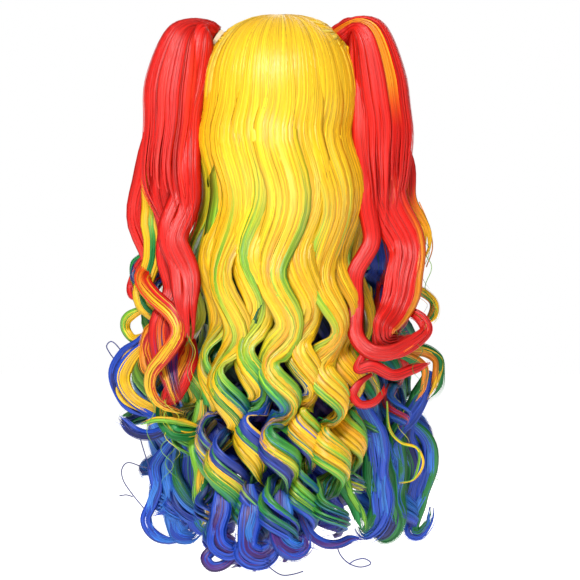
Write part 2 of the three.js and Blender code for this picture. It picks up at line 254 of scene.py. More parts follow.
# Where the curl carries the hair from its route, and the way the flat of the lock faces there
def curled(route, lock, hair, facing, larger, sooner, quicker):
    if not lock["swing"]:
        return route, facing(route)
    z = route[:, 2]
    grown = np.interp(-z, *hair["waves"])
    below = lock["bend"] + sooner - z
    held = np.clip(below, 0, CURL_EVEN_BELOW)
    tight = held**2 + 2 * CURL_EVEN_BELOW * np.maximum(below - CURL_EVEN_BELOW, 0)
    ring = np.clip((z[-1] + RING_HEIGHT - z) / RING_HEIGHT, 0, 1) ** 2
    pace = lock["pace"] * quicker / CURL_TIGHTENING**2
    angle = 2 * np.pi * (below / CURL_PITCH + pace * tight + RING_TURNS * ring) + np.pi / 2
    out = np.stack((np.sin(angle), -CURL_DEPTH * grown * np.cos(angle), 0 * angle), axis=-1)
    centre = route + out * (lock["swing"] * larger * grown)[:, None]
    swell = 2 * np.pi * (z - SOFT_FROM) / SOFT_PITCH
    soft = np.stack((np.cos(swell), -np.sin(swell), 0 * swell), axis=-1)
    centre = centre + soft * (hair["soft"] * np.interp(-z, *SOFT_REACH))[:, None]
    return centre, unit(facing(route) + out * (CURL_TWIST * grown**3)[:, None])


# A lock with no curl of its own sways a little once it hangs free
def swayed(route, lock, hair, draw):
    phase = lock["width"] + draw.uniform(-SWAY_UNEVEN, SWAY_UNEVEN) * hair["tangle"]
    sway = hair["sway"] * np.sin(route[:, 2] / hair["sway_pitch"] * 2 * np.pi + phase)
    freed = np.interp(np.linspace(0, 1, len(route)), *SWAY_FREED)
    return np.stack((sway * freed, SWAY_DEPTH * sway * freed, 0 * sway), axis=-1)


# Shares of the length where a strand gets a section: closer together where it curls or bends more
def section_shares(line, steps):
    run = unit(np.gradient(line, axis=0))
    bent = np.arccos(np.clip(np.sum(run[1:] * run[:-1], axis=1), -1, 1))
    evenly = np.where(line[1:, 2] > HEAD_Z - BELOW_HEAD, STEPS_ON_HEAD, STEPS_BELOW)
    effort = np.concatenate(((0,), np.cumsum(bent + evenly / len(line))))
    return np.interp(np.linspace(0, effort[-1], steps + 1), effort, np.linspace(0, 1, len(line)))


def at_shares(table, shares):
    spot = shares * (len(table) - 1)
    low = np.minimum(spot.astype(int), len(table) - 2)
    part = (spot - low)[..., None]
    return table[low] * (1 - part) + table[low + 1] * part


def away_from_head(spots):
    return unit(spots * FACING_HEAD)


def linear(colour):
    share = np.array(colour, float) / 255
    return np.where(share <= 0.04045, share / 12.92, ((share + 0.055) / 1.055) ** 2.4)


# Colour along strands from a blend's heights, each strand a little early or late
def dyed(blend, z, shift):
    heights, colours = zip(*BLENDS[blend])
    heights = np.array(heights, float)
    colours = np.array(colours, float)
    spot = z + shift
    return np.stack([np.interp(-spot, -heights, channel) for channel in colours.T], axis=-1)


def bulge(u):
    return np.sqrt(np.maximum(1 - np.minimum(np.abs(u), 1) ** 2, 0))


# Section of a lock: rounded on its face, and drawn in at the tip
TIP_DRAWN_IN = ((0, 0.9, 1), (1, 1, 0.55))
THICK_AT_MOST = 0.5
FACE_FLAT = 0.35
FACE_ROUND = 0.75


# Places in a lock: u runs across it from -1 to 1, and depth from its back at -1 to its face at 1
def in_lock(lock, hair, band, along, u, depth, astray=0, adrift=0):
    centre, across, outward = (at_shares(table, along) for table in band["line"])
    share = np.interp(along, *hair["fullness"])
    rounded = np.interp(along, *hair["rounded"])
    drawn_in = np.interp(along, *TIP_DRAWN_IN)
    side = share * lock["width"] / 2 * u * drawn_in + astray
    thick = min(hair["thick"], THICK_AT_MOST * lock["width"])
    deep = share * thick / 2 * depth * rounded + adrift
    points = centre + across * side[..., None] + outward * deep[..., None]
    faced = outward * (depth + FACE_FLAT * np.sign(depth))[..., None]
    surface = unit(faced + across * (FACE_ROUND * u * rounded)[..., None])
    if band["swept"] is None:
        return points, surface
    return band["swept"](points, surface, at_shares(band["route"], along), u, depth)


# Ribbons: the section of one, the painted shade in the grooves between them and on their backs, and the
# streaks along them
RIBBON_ACROSS = np.array((1, 0.5, 0, -0.5, -1, -0.6, 0.6))
RIBBON_TOP = np.array((0.72, 1, 1.05, 1, 0.72, 0, 0))
RIBBON_BACK = np.array((0.0, 0, 0, 0, 0, 1, 1))
RIBBON_OVERLAP = 1.65
RIBBON_REACH = 0.985
RIBBON_END = ((0, 0.85, 1), (1, 1, 0.3))
RIBBON_LEAST = 0.1
RIBBON_PROUD = 0.06
RIBBON_EARLY = 6
RIBBON_BACK_EARLY = 10
RIBBON_SHADE = 0.04
RIBBON_SHADES = (0.9, 1.1)
RIDGE = 0.08
RIDGE_WAVES = 5
RIDGE_PHASE = 6
# Painted shade between and under the ribbons: how much it grows with depth, and its strength at the edges
# and on the back
PAINTED_SHADE_BY_DEPTH = ((60, 160, 340), (0.1, 0.3, 1))
PAINTED_GROOVE_SHADE = 0.46
PAINTED_BACK_SHADE = 0.5
EDGE_FROM = 0.8
EDGE_SHARED = 0.2
SECOND_EARLY = 30
STREAKS_CLOSE = 0.6
STREAKS_SPREAD = 900
STREAKS_TO_BACK = 50


# How far along each line of places each place is
def length_along(lines):
    return np.cumsum(np.linalg.norm(np.diff(lines, axis=1, prepend=lines[:, :1]), axis=-1), axis=1)


# A closed ribbon through columns of places, with its lie across and along for the streaks of its fibres
def ribbon(columns, tint, across, second=None):
    down = length_along(columns)
    lie = np.stack((across[:, None] + 0 * down, down, 0 * down), axis=-1)
    parts = (columns, tint, lie, tint if second is None else second)
    return [part.transpose(1, 0, 2) for part in parts]


# Where a ribbon's streaks start, each ribbon elsewhere in the pattern and its back apart from its face
def streak_lanes(spread, draw):
    return draw.uniform(0, STREAKS_SPREAD) + RIBBON_ACROSS * spread + STREAKS_TO_BACK * RIBBON_BACK


# The ribbon of one band: crowned, with painted shade towards its edges and on its back that deepens lower
# down, and a little of the next band's colour at its edges
def band_ribbon(lock, hair, band, draw):
    across, top, back = (row[:, None] for row in (RIBBON_ACROSS, RIBBON_TOP, RIBBON_BACK))
    columns = len(across)
    bands = band["bands"]
    end = np.interp(band["shares"], *RIBBON_END)
    u = band["middle"] + RIBBON_OVERLAP / len(bands) * across * end
    ridge = draw.normal(0, RIDGE, (columns, 1))
    ridge = ridge * np.sin(RIDGE_WAVES * band["shares"] + draw.uniform(0, RIDGE_PHASE, (columns, 1)))
    depth = (top - back) * (bulge(u) + RIBBON_LEAST) + top * (RIBBON_PROUD + ridge)
    along = np.broadcast_to(band["shares"] * RIBBON_REACH, u.shape)
    points, _ = in_lock(lock, hair, band, along, u, depth)
    z = points[..., 2]
    shift = band["late"] + draw.normal(0, RIBBON_EARLY, (columns, 1)) - RIBBON_BACK_EARLY * back
    shade = np.clip(draw.normal(1, RIBBON_SHADE, columns), *RIBBON_SHADES)[:, None, None]
    tint = dyed(band["blend"], z, shift)
    for edge, beside in ((RIBBON_ACROSS > EDGE_FROM, 1), (RIBBON_ACROSS < -EDGE_FROM, -1)):
        if 0 <= band["number"] + beside < len(bands):
            shared = EDGE_SHARED * dyed(bands[band["number"] + beside], z[edge], 0)
            tint[edge] = (1 - EDGE_SHARED) * tint[edge] + shared
    # Painted shade: each ribbon's edges and back are darkened, more so lower down, for the shade between
    # and under the ribbons
    painted_shade = (PAINTED_GROOVE_SHADE * np.abs(RIBBON_ACROSS) ** 2 + PAINTED_BACK_SHADE * RIBBON_BACK)[:, None, None]
    tint = linear(tint) * shade * (1 - np.interp(-z, *PAINTED_SHADE_BY_DEPTH)[..., None] * painted_shade)
    other = band["blend"] if hair["pure"] else bands[draw.integers(len(bands))]
    second = linear(dyed(other, z, draw.uniform(-SECOND_EARLY, SECOND_EARLY)))
    return ribbon(points, tint, streak_lanes(lock["width"] / len(bands) * STREAKS_CLOSE, draw), second)


# Strands over the ribbons: wisps, single fibres and flyaways, with some of them underneath
STRAND_SIZES = (0.75, 1.25)
STRAND_TAPER = ((0, 0.06, 0.8, 1), (0.7, 1, 0.9, 0.15))
STRAND_LEAN = 0.1
STRAND_PROUD = 0.5
STRAND_OVER = 0.16
STRAND_ENDS = (0.7, 0.3)
STRAND_LOOSENS = ((0, 0.25, 0.7, 1), (0.05, 0.1, 0.4, 0.9))
STRAND_WAVER = {"across": (0.6, 9), "outward": (0.3, 7)}
STRAND_EARLY = 9
STRAND_SHADE = 0.16
STRAND_SHADES = (0.6, 1.35)
FIBRE_WIDE = 0.7
FIBRE_PROUD = 0.4
FIBRE_SHARE = 0.3
FLYAWAY_SHARE = 0.08
FLYAWAY_STRAY = 4
UNDER_SHARE = 0.2
UNDER_EARLY = 22
OVER_LATE = 6


# The strands over one band, some of them on its back, some short and some flying out
def band_strands(lock, hair, band, count, draw):
    shares = band["shares"]
    u = band["middle"] + (draw.uniform(-1, 1, count) / len(band["bands"]) * hair["mix"])[:, None]
    layer = np.where(draw.uniform(0, 1, count) < UNDER_SHARE, -1.0, 1.0)[:, None]
    flyaway = draw.uniform(0, 1, count) < FLYAWAY_SHARE
    shorter = hair["ragged"] * draw.uniform(0, 1, count)[:, None] ** 2
    along = shares - shorter * np.clip((shares - STRAND_ENDS[0]) / STRAND_ENDS[1], 0, 1)
    loose = np.interp(along, *STRAND_LOOSENS) * hair["loose"]
    stray = draw.normal(0, 1, (2, count, 1)) * np.where(flyaway, FLYAWAY_STRAY, 1)[:, None]
    phase = draw.uniform(0, 2 * np.pi, (2, count, 1))
    size, waves = STRAND_WAVER["across"]
    astray = loose * (stray[0] + size * np.sin(waves * along + phase[0]))
    size, waves = STRAND_WAVER["outward"]
    lifted = np.abs(0.5 * stray[1] + size * np.sin(waves * along + phase[1]))
    adrift = layer * (STRAND_PROUD + loose * lifted)
    depth = layer * (bulge(u) + STRAND_OVER) + 0 * along
    points, surface = in_lock(lock, hair, band, along, u, depth, astray, adrift)
    late = np.where(layer[:, 0] < 0, -UNDER_EARLY, OVER_LATE)
    shift = band["late"] + draw.normal(0, STRAND_EARLY, count) + late
    colours = dyed(band["blend"], points[..., 2], shift[:, None])
    return strand_group(points, surface, colours, draw, flyaway, hair["wisp"])


# How far the bands of one lock differ from each other
BAND_LARGER = (0.9, 1.1)
BAND_SOONER = (-4, 4)
BAND_QUICKER = (0.98, 1.02)
BAND_LATE = 20


# One lock: bands side by side, each a smooth ribbon of hair that takes a blend of colours, with strands
# over it. Both are added to the tress that the lock belongs to.
def lay_lock(tress, route, lock, hair, facing, strands, draw, swept=None):
    bands = lock["bands"].split()
    each = max(strands // len(bands), 2)
    for number, blend in enumerate(bands):
        larger = draw.uniform(*BAND_LARGER)
        sooner = draw.uniform(*BAND_SOONER)
        centre, face = curled(route, lock, hair, facing, larger, sooner, draw.uniform(*BAND_QUICKER))
        if not lock["swing"]:
            centre = centre + swayed(route, lock, hair, draw)
        run = unit(np.gradient(centre, axis=0))
        across = unit(np.cross(face, run))
        band = {
            "bands": bands,
            "number": number,
            "blend": blend,
            "line": (centre, across, np.cross(run, across)),
            "shares": section_shares(centre, hair["steps"]),
            "middle": -1 + (2 * number + 1) / len(bands),
            "late": draw.uniform(-BAND_LATE, BAND_LATE),
            "route": route,
            "swept": swept,
        }
        tress["bodies"].append(band_ribbon(lock, hair, band, draw))
        tress["strands"].append(band_strands(lock, hair, band, each, draw))


# A closed body of hair too packed to show its strands
def packed(rings, colour):
    tint = np.broadcast_to(linear(colour), rings.shape)
    return rings, tint, rings, tint


# Width, taper and shade of each strand: mostly flat wisps of many fibres, with single fibres over them
def strand_group(points, surface, colours, draw, single=False, wide=STRAND_WIDE):
    strands, places = points.shape[:2]
    single = single | (draw.uniform(0, 1, strands) < FIBRE_SHARE)
    taper = np.interp(np.linspace(0, 1, places), *STRAND_TAPER)
    widths = np.where(single, FIBRE_WIDE, wide) * draw.uniform(*STRAND_SIZES, strands)
    lean = draw.normal(0, STRAND_LEAN, strands)[:, None, None]
    run = unit(np.gradient(points, axis=1))
    surface = unit(surface + np.cross(run, surface) * lean)
    points = points + surface * np.where(single, FIBRE_PROUD, 0)[:, None, None]
    shade = np.clip(draw.normal(1, STRAND_SHADE, strands), *STRAND_SHADES)[:, None, None]
    return points, surface, widths[:, None] * taper, linear(np.clip(colours, 0, 255)) * shade


# Fibres and bodies as a mesh, with the lanes that they take up on its chart
STRAND_RISE = (0.1, 0.12)
STRAND_ROUND = 0.5
STRAND_LANES_APART = 13.7
STRAND_CHART = 0.35
STRAND_LANE = 0.8
BODY_CHART = (0.02, 0.98)
BODY_LANE_GAP = 0.1


def corners_in(parts):
    return sum(len(corners) for corners in parts["corners"])


def chart_places(u, v):
    return np.stack(np.broadcast_arrays(u, v), axis=-1).reshape(-1, 2)


# Adds strands to the parts of a mesh, each a closed three-sided fibre that shades as a rounded one
def add_strands(parts, group, column, columns):
    points, surface, widths, tint = group
    strands, places = points.shape[:2]
    index = corners_in(parts) + np.arange(strands * places * 3).reshape(strands, places, 3)
    run = unit(np.gradient(points, axis=1))
    across = unit(np.cross(run, surface))
    outward = np.cross(across, run)
    half = across * (widths / 2)[..., None]
    rise = outward * (widths * STRAND_RISE[0] + STRAND_RISE[1])[..., None]
    ring = (points - half - rise / 3, points + half - rise / 3, points + rise * 2 / 3)
    aslant = STRAND_ROUND * across
    upper = np.stack((outward - aslant, outward + aslant, outward), axis=2)
    under = np.stack((-outward - aslant, -outward + aslant, outward), axis=2)
    lane = np.arange(strands)[:, None] * STRAND_LANES_APART + column
    lanes = np.stack((lane - widths / 2, lane + widths / 2, lane + 0 * widths), axis=2)
    down = np.repeat(length_along(points)[..., None], 3, axis=2)
    parts["corners"].append(np.stack(ring, axis=2).reshape(-1, 3))
    parts["weave"].append(np.stack((lanes, down, 0 * down), axis=-1).reshape(-1, 3))
    for dye in ("dye", "second_dye"):
        parts[dye].append(np.repeat(tint.reshape(-1, 3), 3, axis=0))
    left = (column + np.arange(strands)) / columns * STRAND_CHART
    right = left + STRAND_LANE / columns * STRAND_CHART
    v = np.linspace(0, 1, places)
    u_corners = np.stack((left, left, right, right), axis=-1)[:, None]
    chart = chart_places(u_corners, np.stack((v[:-1], v[1:], v[1:], v[:-1]), axis=-1))
    here = slice(None, -1)
    below = slice(1, None)
    for side, after in ((0, 1), (1, 2), (2, 0)):
        order = ((here, side), (below, side), (below, after), (here, after))
        facing = under if side == 0 else upper
        normals = np.stack([facing[:, part, corner] for part, corner in order], axis=2)
        quads = np.stack([index[:, part, corner] for part, corner in order], axis=-1)
        parts["quads"].append(quads.reshape(-1, 4))
        parts["quad_normals"].append(unit(normals).reshape(-1, 3))
        parts["quad_chart"].append(chart)
    u_corners = np.stack((left, right, (left + right) / 2), axis=-1)
    for tip, v_tip in ((index[:, 0], 0.0), (index[:, -1, ::-1], 1.0)):
        parts["tips"].append(tip)
        parts["tip_normals"].append(np.zeros((strands * 3, 3)))
        parts["tip_chart"].append(chart_places(u_corners, v_tip))


# Adds a body to the parts of a mesh: a closed skin over its rings
def add_body(parts, body, left, wide):
    rings, tint, lie, second = body
    places, sides = rings.shape[:2]
    first = corners_in(parts)
    index = first + np.arange(places * sides).reshape(places, sides)
    after = np.roll(index, -1, axis=1)
    centres = first + places * sides + np.arange(2)
    parts["corners"].append(np.vstack((rings.reshape(-1, 3), rings[[0, -1]].mean(axis=1))))
    for name, values in (("weave", lie), ("dye", tint), ("second_dye", second)):
        parts[name].append(np.vstack((values.reshape(-1, 3), values[0, :1], values[-1, :1])))
    quads = np.stack((index[:-1], after[:-1], after[1:], index[1:]), axis=-1)
    u0 = left + wide * np.arange(sides) / sides
    u1 = left + wide * (np.arange(sides) + 1) / sides
    v = np.linspace(*BODY_CHART, places)
    u_corners = np.stack((u0, u1, u1, u0), axis=-1)
    v_corners = np.stack((v[:-1], v[:-1], v[1:], v[1:]), axis=-1)[:, None]
    parts["quads"].append(quads.reshape(-1, 4))
    parts["quad_normals"].append(np.zeros((quads.size, 3)))
    parts["quad_chart"].append(chart_places(u_corners, v_corners))
    u_corners = np.stack((u0, u1, (u0 + u1) / 2), axis=-1)
    for ring, follow, centre, v_corners in (
        (after[0], index[0], centres[0], (v[0], v[0], 0)),
        (index[-1], after[-1], centres[1], (v[-1], v[-1], 1)),
    ):
        parts["tips"].append(np.stack((ring, follow, np.full(sides, centre)), axis=-1))
        parts["tip_normals"].append(np.zeros((sides * 3, 3)))
        parts["tip_chart"].append(chart_places(u_corners, v_corners))


def flat_floats(rows):
    return np.asarray(rows).astype(np.float32).ravel()


# One mesh from the strands and bodies of a tress
def hair_mesh(name, tress, material):
    kinds = ("corners", "weave", "dye", "second_dye", "quads", "quad_normals", "quad_chart")
    parts = {kind: [] for kind in (*kinds, "tips", "tip_normals", "tip_chart")}
    columns = sum(len(group[0]) for group in tress["strands"])
    column = 0
    for group in tress["strands"]:
        add_strands(parts, group, column, columns)
        column += len(group[0])
    lane = (1 - STRAND_CHART) / len(tress["bodies"])
    for number, body in enumerate(tress["bodies"]):
        add_body(parts, body, STRAND_CHART + lane * (number + BODY_LANE_GAP), lane * (1 - BODY_LANE_GAP))
    corners = np.vstack(parts["corners"]) * MM
    quads = np.vstack(parts["quads"])
    tips = np.vstack(parts["tips"])
    starts = (np.arange(len(quads)) * 4, quads.size + np.arange(len(tips)) * 3)
    mesh = bpy.data.meshes.new(name)
    mesh.vertices.add(len(corners))
    mesh.vertices.foreach_set("co", flat_floats(corners))
    mesh.loops.add(quads.size + tips.size)
    mesh.loops.foreach_set("vertex_index", np.concatenate((quads.ravel(), tips.ravel())).astype(np.int32))
    mesh.polygons.add(len(quads) + len(tips))
    mesh.polygons.foreach_set("loop_start", np.concatenate(starts).astype(np.int32))
    mesh.update(calc_edges=True)
    mesh.shade_smooth()
    normals = np.vstack((*parts["quad_normals"], *parts["tip_normals"]))
    mesh.normals_split_custom_set(normals.astype(np.float32))
    for dye in ("dye", "second_dye"):
        shades = np.vstack(parts[dye])
        tint = mesh.color_attributes.new(dye, "FLOAT_COLOR", "POINT")
        tint.data.foreach_set("color", flat_floats(np.hstack((shades, np.ones((len(shades), 1))))))
    lie = mesh.attributes.new("weave", "FLOAT_VECTOR", "POINT")
    lie.data.foreach_set("vector", flat_floats(np.vstack(parts["weave"])))
    chart = mesh.uv_layers.new(name="OFBake")
    chart.data.foreach_set("uv", flat_floats(np.vstack((*parts["quad_chart"], *parts["tip_chart"]))))
    mesh.materials.append(material)
    piece = bpy.data.objects.new(name, mesh)
    bpy.context.scene.collection.objects.link(piece)
    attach(piece, "root")
    return piece


# Glossy dyed fibre: the dye along each strand, fibres of a second dye mixed in, streaks and fine relief
FIBRE_LONG = (1, 0.01, 1)
FIBRE_GRAIN = {"Scale": 0.75, "Detail": 4, "Roughness": 0.75}
FIBRE_SORTS = {"Scale": 0.6, "Detail": 2}
FIBRE_SORTED = {"From Min": 0.53, "From Max": 0.57, "To Max": 0.85}
FIBRE_ELSEWHERE = (37.3, 5.1, 0)
FIBRE_ROUGH = (0.28, 0.48)
FIBRE_LIGHT = {"From Min": 0.32, "From Max": 0.66}
FIBRE_DARKER = 1.3
FIBRE_LIGHTER = 0.6
FIBRE_STREAKS = 0.46
FIBRE_GLOSS = 0.6
FIBRE_RELIEF = {"Strength": 0.6, "Distance": 0.0008}


def fibre(name, streaks=FIBRE_STREAKS, gloss=FIBRE_GLOSS):
    material, nodes, shader = start_material(name)
    dye = add_node(nodes, "VertexColor", layer_name="dye")
    second = add_node(nodes, "VertexColor", layer_name="second_dye")
    lie = add_node(nodes, "Attribute", attribute_name="weave")
    stretch = add_node(nodes, "Mapping", {"Scale": FIBRE_LONG})
    grain = add_node(nodes, "TexNoise", FIBRE_GRAIN)
    elsewhere = add_node(nodes, "VectorMath", {1: FIBRE_ELSEWHERE})
    sorting = add_node(nodes, "TexNoise", FIBRE_SORTS)
    sorted_out = add_node(nodes, "MapRange", FIBRE_SORTED)
    mixed = add_node(nodes, "MixRGB")
    light = {"To Min": 1 - FIBRE_DARKER * streaks, "To Max": 1 + FIBRE_LIGHTER * streaks}
    lighter = add_node(nodes, "MapRange", {**FIBRE_LIGHT, **light})
    shaded = add_node(nodes, "VectorMath", operation="SCALE")
    wire(lie, "Vector", stretch, "Vector")
    wire(stretch, "Vector", grain, "Vector")
    wire(grain, "Fac", lighter, "Value")
    wire(stretch, "Vector", elsewhere, 0)
    wire(elsewhere, "Vector", sorting, "Vector")
    wire(sorting, "Fac", sorted_out, "Value")
    wire(sorted_out, "Result", mixed, "Fac")
    wire(dye, "Color", mixed, "Color1")
    wire(second, "Color", mixed, "Color2")
    wire(mixed, "Color", shaded, 0)
    wire(lighter, "Result", shaded, "Scale")
    wire(shaded, "Vector", shader, "Base Color")
    vary_surface(shader, grain, "Fac", FIBRE_ROUGH, FIBRE_RELIEF)
    set_inputs(shader, {"Specular IOR Level": gloss})
    return material


def hanging_route(lock, half, levels):
    path = [onto_head(half, lock["azimuth"], level) for level in levels]
    leaving = path[-1]
    tip = np.array(lock["tip"], float)
    path += [leaving + (tip - leaving) * share for share in HANG_SHARES]
    return smooth_route(path)


# A place on the full round of the crown hair, a little squarer than the head under it
def on_crown(azimuth, polar, lift):
    drop = np.radians(polar)
    square = np.abs(np.sin(drop)) ** CROWN_SQUARE + np.maximum(np.cos(drop), 0) ** CROWN_SQUARE
    full = np.where(np.cos(drop) > 0, square ** (-1 / CROWN_SQUARE), 1)
    place = onto_head(CROWN_FULL, azimuth, polar) - HEAD_CENTRE
    out = unit(place / CROWN_FULL**2)
    return HEAD_CENTRE + place * full[..., None] + out * lift[..., None], out


# Fan of the strands over the dome, and where they leave it
FAN = 10.5
FAN_LIFT = 1.8
FAN_SUNK = 1.4
FAN_LEVEL = 89
FAN_UNTIL = -40
FAN_FADES_IN = 95


# On the dome the strands of a lock fan out from the crown, and only lower down draw into the lock
def over_the_dome(points, surface, middle, u, depth):
    scaled = (middle - HEAD_CENTRE) / (CROWN_OUT - 2)
    azimuth = np.degrees(np.arctan2(scaled[..., 0], -scaled[..., 1])) + FAN * u
    polar = np.degrees(np.arccos(np.clip(scaled[..., 2], 0, 1)))
    spread, out = on_crown(azimuth, polar, FAN_LIFT * depth - FAN_SUNK)
    spread[..., 2] = np.where(polar > FAN_LEVEL, np.minimum(spread[..., 2], middle[..., 2]), spread[..., 2])
    hung = np.clip((FAN_UNTIL - middle[..., 2]) / FAN_FADES_IN, 0, 1)
    hung = (hung * hung * (3 - 2 * hung))[..., None]
    return spread * (1 - hung) + points * hung, unit(out * (1 - hung) + surface * hung)


draw = np.random.default_rng(11)
crown = {"strands": [], "bodies": []}
for lock in BACK_LOCKS:
    route = hanging_route(lock, CROWN_OUT - 2, BACK_LEVELS)
    strands = int(BACK_STRANDS_PER_MM * lock["width"])
    lay_lock(crown, route, lock, BACK_HAIR, away_from_head, strands, draw, over_the_dome)

# Short hair over the sides and front of the dome, down past the tops of the side wefts and to the fringe
FRINGE_FROM = 60
FRINGE_SPAN = 240
FRINGE_RIBBONS = 64
FRINGE_STRANDS = 130
FRINGE_STEPS = 14
FRINGE_LOW = ((60, 80, 122, 142, 180, 218, 238, 280, 300), (100, 106, 106, 98, 98, 98, 106, 106, 100))
FRINGE_UNEVEN = 4
FRINGE_RAGGED = 2
FRINGE_WAVE = 1.6
FRINGE_WAVE_ROUND = 7
FRINGE_TIP = ((0, 0.8, 1), (1, 1, 0.35))
FRINGE_TURNED_IN = 5
FRINGE_LIFT = (-0.9, 0.5)
FRINGE_CROWNED = 1.4
FRINGE_THICK = 3.4
FRINGE_SHADE = (0.92, 1.05)
FRINGE_STRAND_LIFT = (0.4, 1.5)
FRINGE_STREAKS = 4
PALE_SHARE = {"ribbons": 0.2, "strands": 0.25, "bunch": 0.4}


# Short hair from the crown to its low end at each azimuth, waved a little and turned in at the end
def short_hair(azimuth, spread, shorter, lift):
    along = np.linspace(0, 1, FRINGE_STEPS + 1)
    low = (np.interp(azimuth, *FRINGE_LOW) - shorter)[:, None]
    wave = FRINGE_WAVE * np.sin(azimuth / FRINGE_WAVE_ROUND)[:, None] * along**2
    tip = np.interp(along, *FRINGE_TIP)
    turned = azimuth[:, None] + wave + spread[:, None] * tip
    return on_crown(turned, low * along, lift[:, None] - FRINGE_TURNED_IN * along**8)


columns = len(RIBBON_ACROSS)
apart = FRINGE_SPAN / FRINGE_RIBBONS
for number in range(FRINGE_RIBBONS):
    azimuth = np.full(columns, FRINGE_FROM + apart * (number + draw.uniform(0.3, 0.7)))
    shorter = FRINGE_UNEVEN * draw.uniform(0, 1) ** 1.5 + draw.uniform(0, FRINGE_RAGGED, columns)
    lift = draw.uniform(*FRINGE_LIFT) + FRINGE_CROWNED * RIBBON_TOP - FRINGE_THICK * RIBBON_BACK
    points, _ = short_hair(azimuth, RIBBON_OVERLAP * apart / 2 * RIBBON_ACROSS, shorter, lift)
    colour = PALE_YELLOW if draw.uniform(0, 1) < PALE_SHARE["ribbons"] else YELLOW
    tint = np.broadcast_to(linear(colour) * draw.uniform(*FRINGE_SHADE), points.shape)
    crown["bodies"].append(ribbon(points, tint, streak_lanes(FRINGE_STREAKS, draw)))
numbers = np.arange(FRINGE_STRANDS)
azimuth = FRINGE_FROM + FRINGE_SPAN * (numbers + draw.uniform(0, 1, FRINGE_STRANDS)) / FRINGE_STRANDS
shorter = FRINGE_UNEVEN * draw.uniform(-0.4, 1, FRINGE_STRANDS)
spread = draw.normal(0, 1, FRINGE_STRANDS)
lift = draw.uniform(*FRINGE_STRAND_LIFT, FRINGE_STRANDS)
points, surface = short_hair(azimuth, spread, shorter, lift)
pale = draw.uniform(0, 1, (FRINGE_STRANDS, 1, 1)) < PALE_SHARE["strands"]
colours = np.where(pale, PALE_YELLOW, YELLOW) + 0 * points
crown["strands"].append(strand_group(points, surface, colours, draw))

# The layer under the strands of the dome, open below for the cap, in a deeper yellow as painted shade under
# the strands
DOME_AROUND = 64
DOME_DOWN = 16
DOME_SHARES = (0.02, 0.95)
DOME_SUNK = 4.0
ring = np.broadcast_to(np.linspace(0, 360, DOME_AROUND, endpoint=False), (DOME_DOWN, DOME_AROUND))
level = edge_of_crown(ring) * np.linspace(*DOME_SHARES, DOME_DOWN)[:, None]
outer, _ = on_crown(ring, level, np.full(ring.shape, -DOME_SUNK))
inner = onto_head(CAP_OUT, ring, level)
crown["bodies"].append(packed(np.vstack((outer, inner[::-1])), DEEP_YELLOW_DYE_AND_SHADE))

# The bunches: hair drawn together from the dome into a short stalk through each clip
BUNCH_PLACE = {
    "left": {"azimuth": -95, "polar": 44, "lean": unit(np.array((-0.84, 0, 0.54)))},
    "right": {"azimuth": 81, "polar": 42, "lean": unit(np.array((0.78, -0.1, 0.62)))},
}
BUNCH_STRANDS = 90
BUNCH_STEPS = 10
BUNCH_SIDES = 14
BUNCH_STRAND_WIDE = 2.9
BUNCH_DRAWN_FROM = (36, 54)
BUNCH_LIFT = {"foot": -0.5, "near": 2.0}
BUNCH_ROUND = ((-6, 0, 6, 17), (19, 16.5, 9.2, 8.4))


# A bunch's root and lean, with the two directions square to it: towards the back, and to its upper side
def round_bunch(side):
    bunch = BUNCH_PLACE[side]
    lean = bunch["lean"]
    back = unit(np.cross((0, 0, 1), lean))
    back = back * np.sign(-back[1])
    upper = np.cross(lean, back)
    root = onto_head(CROWN_OUT, bunch["azimuth"], bunch["polar"])
    return root, lean, back, upper * np.sign(upper[2])


for side, bunch in BUNCH_PLACE.items():
    root, lean, back, upper = round_bunch(side)
    turn = 2 * np.pi * (np.arange(BUNCH_STRANDS) + draw.uniform(0, 1, BUNCH_STRANDS)) / BUNCH_STRANDS
    outward = np.cos(turn)[:, None] * back + np.sin(turn)[:, None] * upper
    far = draw.uniform(*BUNCH_DRAWN_FROM, BUNCH_STRANDS)[:, None]
    scaled = (root + outward * far - HEAD_CENTRE) / CROWN_OUT
    azimuth = np.degrees(np.arctan2(scaled[:, 0], -scaled[:, 1]))
    polar = np.degrees(np.arccos(np.clip(scaled[:, 2] / np.linalg.norm(scaled, axis=1), -1, 1)))
    foot, _ = on_crown(azimuth, polar, np.full(BUNCH_STRANDS, BUNCH_LIFT["foot"]))
    halfway = (azimuth + 0.5 * (bunch["azimuth"] - azimuth), polar + 0.5 * (bunch["polar"] - polar))
    near, _ = on_crown(*halfway, np.full(BUNCH_STRANDS, BUNCH_LIFT["near"]))
    stalk = [(up, wide) for up, wide in zip(*BUNCH_ROUND) if up > 0]
    lines = []
    for number in range(BUNCH_STRANDS):
        gathered = [root + lean * up + outward[number] * wide for up, wide in stalk]
        lines.append(smooth_route((foot[number], near[number], *gathered), BUNCH_STEPS + 1))
    points = np.array(lines)
    surface = np.broadcast_to(outward[:, None], points.shape)
    pale = draw.uniform(0, 1, (BUNCH_STRANDS, 1, 1)) < PALE_SHARE["bunch"]
    colours = np.where(pale, PALE_YELLOW, YELLOW) + 0 * points
    crown["strands"].append(strand_group(points, surface, colours, draw, wide=BUNCH_STRAND_WIDE))
    turn = np.linspace(0, 2 * np.pi, BUNCH_SIDES, endpoint=False)[None, :, None]
    up, wide = (np.array(row)[:, None, None] for row in BUNCH_ROUND)
    rings = up * lean + root + (wide - 1) * (np.cos(turn) * back + np.sin(turn) * upper)
    if np.dot(np.cross(back, upper), lean) < 0:
        rings = rings[:, ::-1]
    # The packed core of the bunch is a deeper yellow: painted shade under its strands
    crown["bodies"].append(packed(rings, DEEP_YELLOW_DYE_AND_SHADE))

